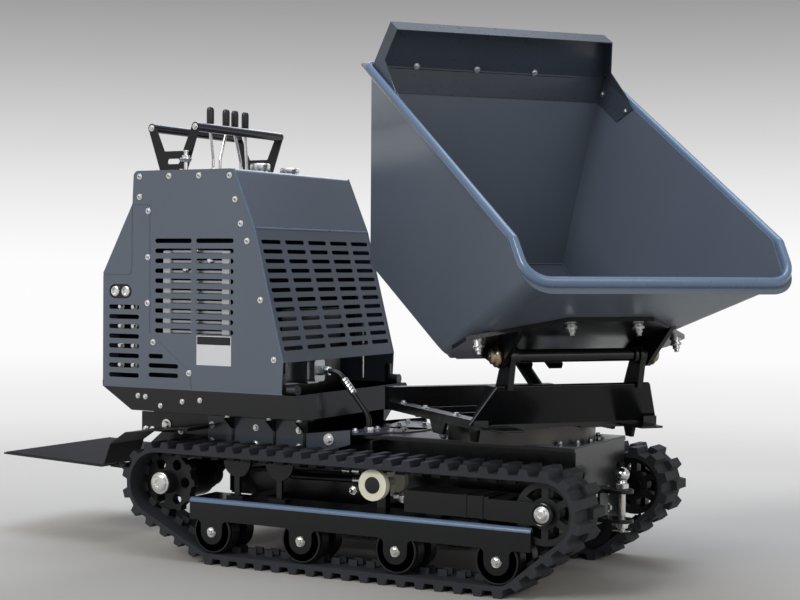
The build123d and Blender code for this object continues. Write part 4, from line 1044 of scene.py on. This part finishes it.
class DUMPER_OT_swing_fittings(bpy.types.Operator):
    """Bolts along the swing frame's rails, its stop brackets and rubbed edges"""

    bl_idname = "dumper.swing_fittings"
    bl_label = "Swing fittings"

    def execute(self, context):
        spots = [(swing_point(u, side * 0.3155, 0.573), UP) for side in SIDES for u in (-0.352, -0.133, 0.151)]
        fasteners("swing_bolts", spots, "swing", head=0.009, height=0.008, washer=0.014)

        kit = Kit()
        along, across = swing_vector(1, 0, 0), swing_vector(0, 1, 0)
        long_foot = ((0, 0), (0.146, 0), (0.120, -0.044), (0.030, -0.044))
        short_foot = ((0, 0), (0.080, 0), (0.060, -0.050), (0.020, -0.050))
        pad = ((0, -0.055), (0.134, -0.040), (0.134, 0.040), (0, 0.055))
        for side in SIDES:
            for outline, u, v in ((long_foot, -0.047, 0.335), (short_foot, 0.215, 0.300)):
                corner = swing_point(u, side * v, 0.5435)
                kit.prism(outline, corner, along, UP, across * (side * -0.012), "black", 0.001)
            kit.prism(pad, swing_point(0.345, side * 0.255, 0.5440), along, across, (0, 0, 0.007), "black", 0.001)
        for side in SIDES:
            edge = [swing_point(0.3365, side * 0.3478, 0.5575), swing_point(0.4075, side * 0.2828, 0.6865)]
            kit.tube(edge, 0.0022, "worn", 8)
        kit.tube([swing_point(0.4085, side * 0.2825, 0.6868) for side in SIDES], 0.0022, "black", 8)
        kit.done("swing_brackets", "swing")
        return {"FINISHED"}


class DUMPER_OT_skip_fittings(bpy.types.Operator):
    """Rolled rim in the edge coat that paints its sky reflection, guard bolts and the painted shade in its creases,
    tilt plate bolts, and the pivot shaft's collars and caps
    """

    bl_idname = "dumper.skip_fittings"
    bl_label = "Skip fittings"

    def execute(self, context):
        kit = Kit()
        rear, shoulder, lip = (-0.7015, 0.4822, 1.346), (0.670, 0.4585, 1.346), (0.8025, 0.4510, 1.2785)
        corners = [(u, -v, z) for u, v, z in (rear, shoulder, lip)] + [lip, shoulder, rear]
        path = rounded_path(corners, (0.030, 0.020, 0.0765, 0.0765, 0.020, 0.030), closed=True, steps=8)
        # The rim is drawn in the edge coat, bluer and brighter than the skip's paint, painting the sky's reflection on
        # its roll
        kit.tube([skip_point(*spot) for spot in path], context.scene.dumper.rim_radius, "edge", 18, closed=True,
                 stretch=skip_vector(0, 0, 0.608))
        kit.done("rolled_rim", "skip")
        self.guard()
        self.pivot()

        kit = Kit()
        (rear, rear_half), (front, front_half), z = TUB_FLOOR
        for side in SIDES:
            ends = [skip_point(rear, side * rear_half, z), skip_point(front, side * front_half, z)]
            kit.tube(ends, 0.0035, "slate", 8)
        for u, half in ((front, front_half), (rear, rear_half)):
            kit.tube([skip_point(u, side * half, z) for side in SIDES], 0.0035, "slate", 8)
        kit.done("weld_seams", "skip")
        return {"FINISHED"}

    def guard(self):
        """Bolts through the spill guard and its wings, and thin matt black lines that paint the shade in the creases
        that join them.
        """
        spots = [(skip_point(-0.6800, v, 1.362), skip_vector(1, 0, 0.08)) for v in GUARD_BOLTS]
        for side in SIDES:
            inward = skip_vector(0, -side, 0)
            spots += [(skip_point(u, side * (GUARD_INNER - 0.0005), z), inward) for u, z in GUARD_WING]
        fasteners("guard_bolts", spots, "skip", sides=16, head=0.0075, height=0.005, washer=0.012)
        kit = Kit()
        # Thin matt black tubes paint the shade along the guard's crease and its wings' creases
        crease = [(GUARD_BACK, v, 1.350) for v in (-0.400, -0.250, 0.0, 0.200, 0.330)] + [(GUARD_BACK, 0.420, 1.340)]
        kit.tube([skip_point(*spot) for spot in crease], 0.0014, "shade_black", 6)
        for side in SIDES:
            wing = [(-0.668, 1.312)] + [(u, z - 0.008) for u, z in GUARD_WING]
            kit.tube([skip_point(u, side * GUARD_INNER, z) for u, z in wing], 0.0014, "shade_black", 6)
        kit.done("guard_crease_shade", "skip")

    def pivot(self):
        """Bolts that hold the tilt plate, and the collars and end caps of the pivot shaft."""
        kit = Kit()
        down = skip_vector(0.7015, 0, -0.7127)
        bolt = (
            (0, -0.016), (0.019, -0.016), (0.019, -0.010), (0.014, -0.009), (0.014, -0.003), (0.019, -0.002),
            (0.019, 0.004), (0.015, 0.006), (0.015, 0.014), (0.0195, 0.016), (0.0195, 0.022), (0.012, 0.024),
            (0.012, 0.034), (0.008, 0.036), (0.008, 0.045), (0, 0.045),
        )
        for u, v, z in ((0.4074, 0.364, 0.8466), (0.5314, 0.121, 0.986)):
            for side in SIDES:
                kit.turned(bolt, skip_point(u, side * v, z), down, "zinc", 26)
        kit.done("tilt_plate_bolts", "skip")

        kit = Kit()
        lateral = swing_vector(0, 1, 0)
        centre = swing_point(PIVOT[0], 0, PIVOT[1])
        cap = (
            (0.0222, 0.279), (0.034, 0.280), (0.036, 0.283), (0.036, 0.290), (0.030, 0.294), (0.026, 0.300),
            (0.026, 0.304), (0.020, 0.308), (0.008, 0.308), (0.007, 0.305), (0, 0.305),
        )
        for side in SIDES:
            for inner, outer in ((0.214, 0.2285), (0.2520, 0.2600)):
                collar = ((0.0222, inner), (0.031, inner), (0.032, inner + 0.002), (0.032, outer - 0.002),
                          (0.031, outer), (0.0222, outer))
                kit.turned(collar, centre, lateral * side, "black", 40)
            kit.turned(cap, centre, lateral * side, "bronze", 40)
        kit.done("pivot_collars", "skip")


class DUMPER_OT_tow_hitch(bpy.types.Operator):
    """Clevis of black plates with a zinc pin, nuts, spring clip and chromed ball"""

    bl_idname = "dumper.tow_hitch"
    bl_label = "Tow hitch"

    def execute(self, context):
        kit = Kit()
        nose, reach, half = 0.793, 0.873, 0.0398
        for low, high in ((0.303, 0.317), (0.201, 0.215)):
            outline = [(nose, -half), (reach, -half)]
            outline += [(reach + half * sin(pi * i / 16), -half * cos(pi * i / 16)) for i in range(1, 16)]
            outline += [(reach, half), (nose, half)]
            kit.prism(outline, (0, 0, low), AHEAD, (0, 1, 0), (0, 0, high - low), "black", 0.0015)
        kit.box((nose, -half, 0.216), (nose + 0.014, half, 0.302), "black", 0.0015)
        shank = (
            (0, 0.166), (0.007, 0.166), (0.009, 0.168), (0.012, 0.176), (0.012, 0.336), (0.016, 0.338),
            (0.014, 0.344), (0.0165, 0.3465), (0, 0.3465),
        )
        kit.turned(shank, (reach, 0, 0), UP, "zinc", 32)
        ball = [(0.025 * sin(pi * i / 24), 0.367 - 0.025 * cos(pi * i / 24)) for i in range(5, 24)]
        kit.turned([(0, ball[0][1]), *ball, (0, 0.392)], (reach, 0, 0), UP, "chrome", 40)
        for low, high, radius in ((0.182, 0.200, 0.0225), (0.318, 0.336, 0.0235)):
            nut = [(radius * cos(pi * i / 3), radius * sin(pi * i / 3)) for i in range(6)]
            kit.prism(nut, (reach, 0, low), AHEAD, (0, 1, 0), (0, 0, high - low), "zinc", 0.0014)
        kit.turned(((0, 0.2002), (0.0275, 0.2002), (0.0275, 0.2008), (0, 0.2008)), (reach, 0, 0), UP, "zinc", 32)
        clip = ((-0.034, -0.006, 0.171), (0.022, -0.006, 0.171), (0.034, 0.0, 0.1735), (0.022, 0.006, 0.171),
                (-0.010, 0.014, 0.171), (-0.034, 0.010, 0.171))
        kit.tube(rounded_path([(reach + x, y, z) for x, y, z in clip], 0.003, steps=3), 0.0016, "zinc", 8)
        kit.done("tow_hitch_assembly", "chassis", ("tow_hitch",))
        spots = [((nose, y, z), AHEAD) for z in (0.298, 0.238) for y in (-0.068, 0.068)]
        fasteners("hitch_bolts", spots, head=0.011, height=0.010, washer=0.017, seat=0.003)
        return {"FINISHED"}


class DUMPER_PT_panel(bpy.types.Panel):
    """Sidebar panel with the sizes and the makers of each group"""

    bl_idname = "DUMPER_PT_panel"
    bl_label = "Site dumper"
    bl_space_type = "VIEW_3D"
    bl_region_type = "UI"
    bl_category = "Dumper"

    def draw(self, context):
        for name in DumperSizes.__annotations__:
            self.layout.prop(context.scene.dumper, name)
        for maker in MAKERS:
            self.layout.operator(maker.bl_idname)


MAKERS = (
    DUMPER_OT_stage,
    DUMPER_OT_finishes,
    DUMPER_OT_hood_fittings,
    DUMPER_OT_handle_fittings,
    DUMPER_OT_running_gear,
    DUMPER_OT_chassis_fittings,
    DUMPER_OT_swing_fittings,
    DUMPER_OT_skip_fittings,
    DUMPER_OT_tow_hitch,
)
CLASSES = (DumperSizes, *MAKERS, DUMPER_PT_panel)


def register():
    for cls in CLASSES:
        bpy.utils.register_class(cls)
    bpy.types.Scene.dumper = PointerProperty(type=DumperSizes)


def unregister():
    del bpy.types.Scene.dumper
    for cls in reversed(CLASSES):
        bpy.utils.unregister_class(cls)


def main():
    register()
    for maker in MAKERS:
        group, call = maker.bl_idname.split(".")
        getattr(getattr(bpy.ops, group), call)()


if __name__ == "__main__":
    main()
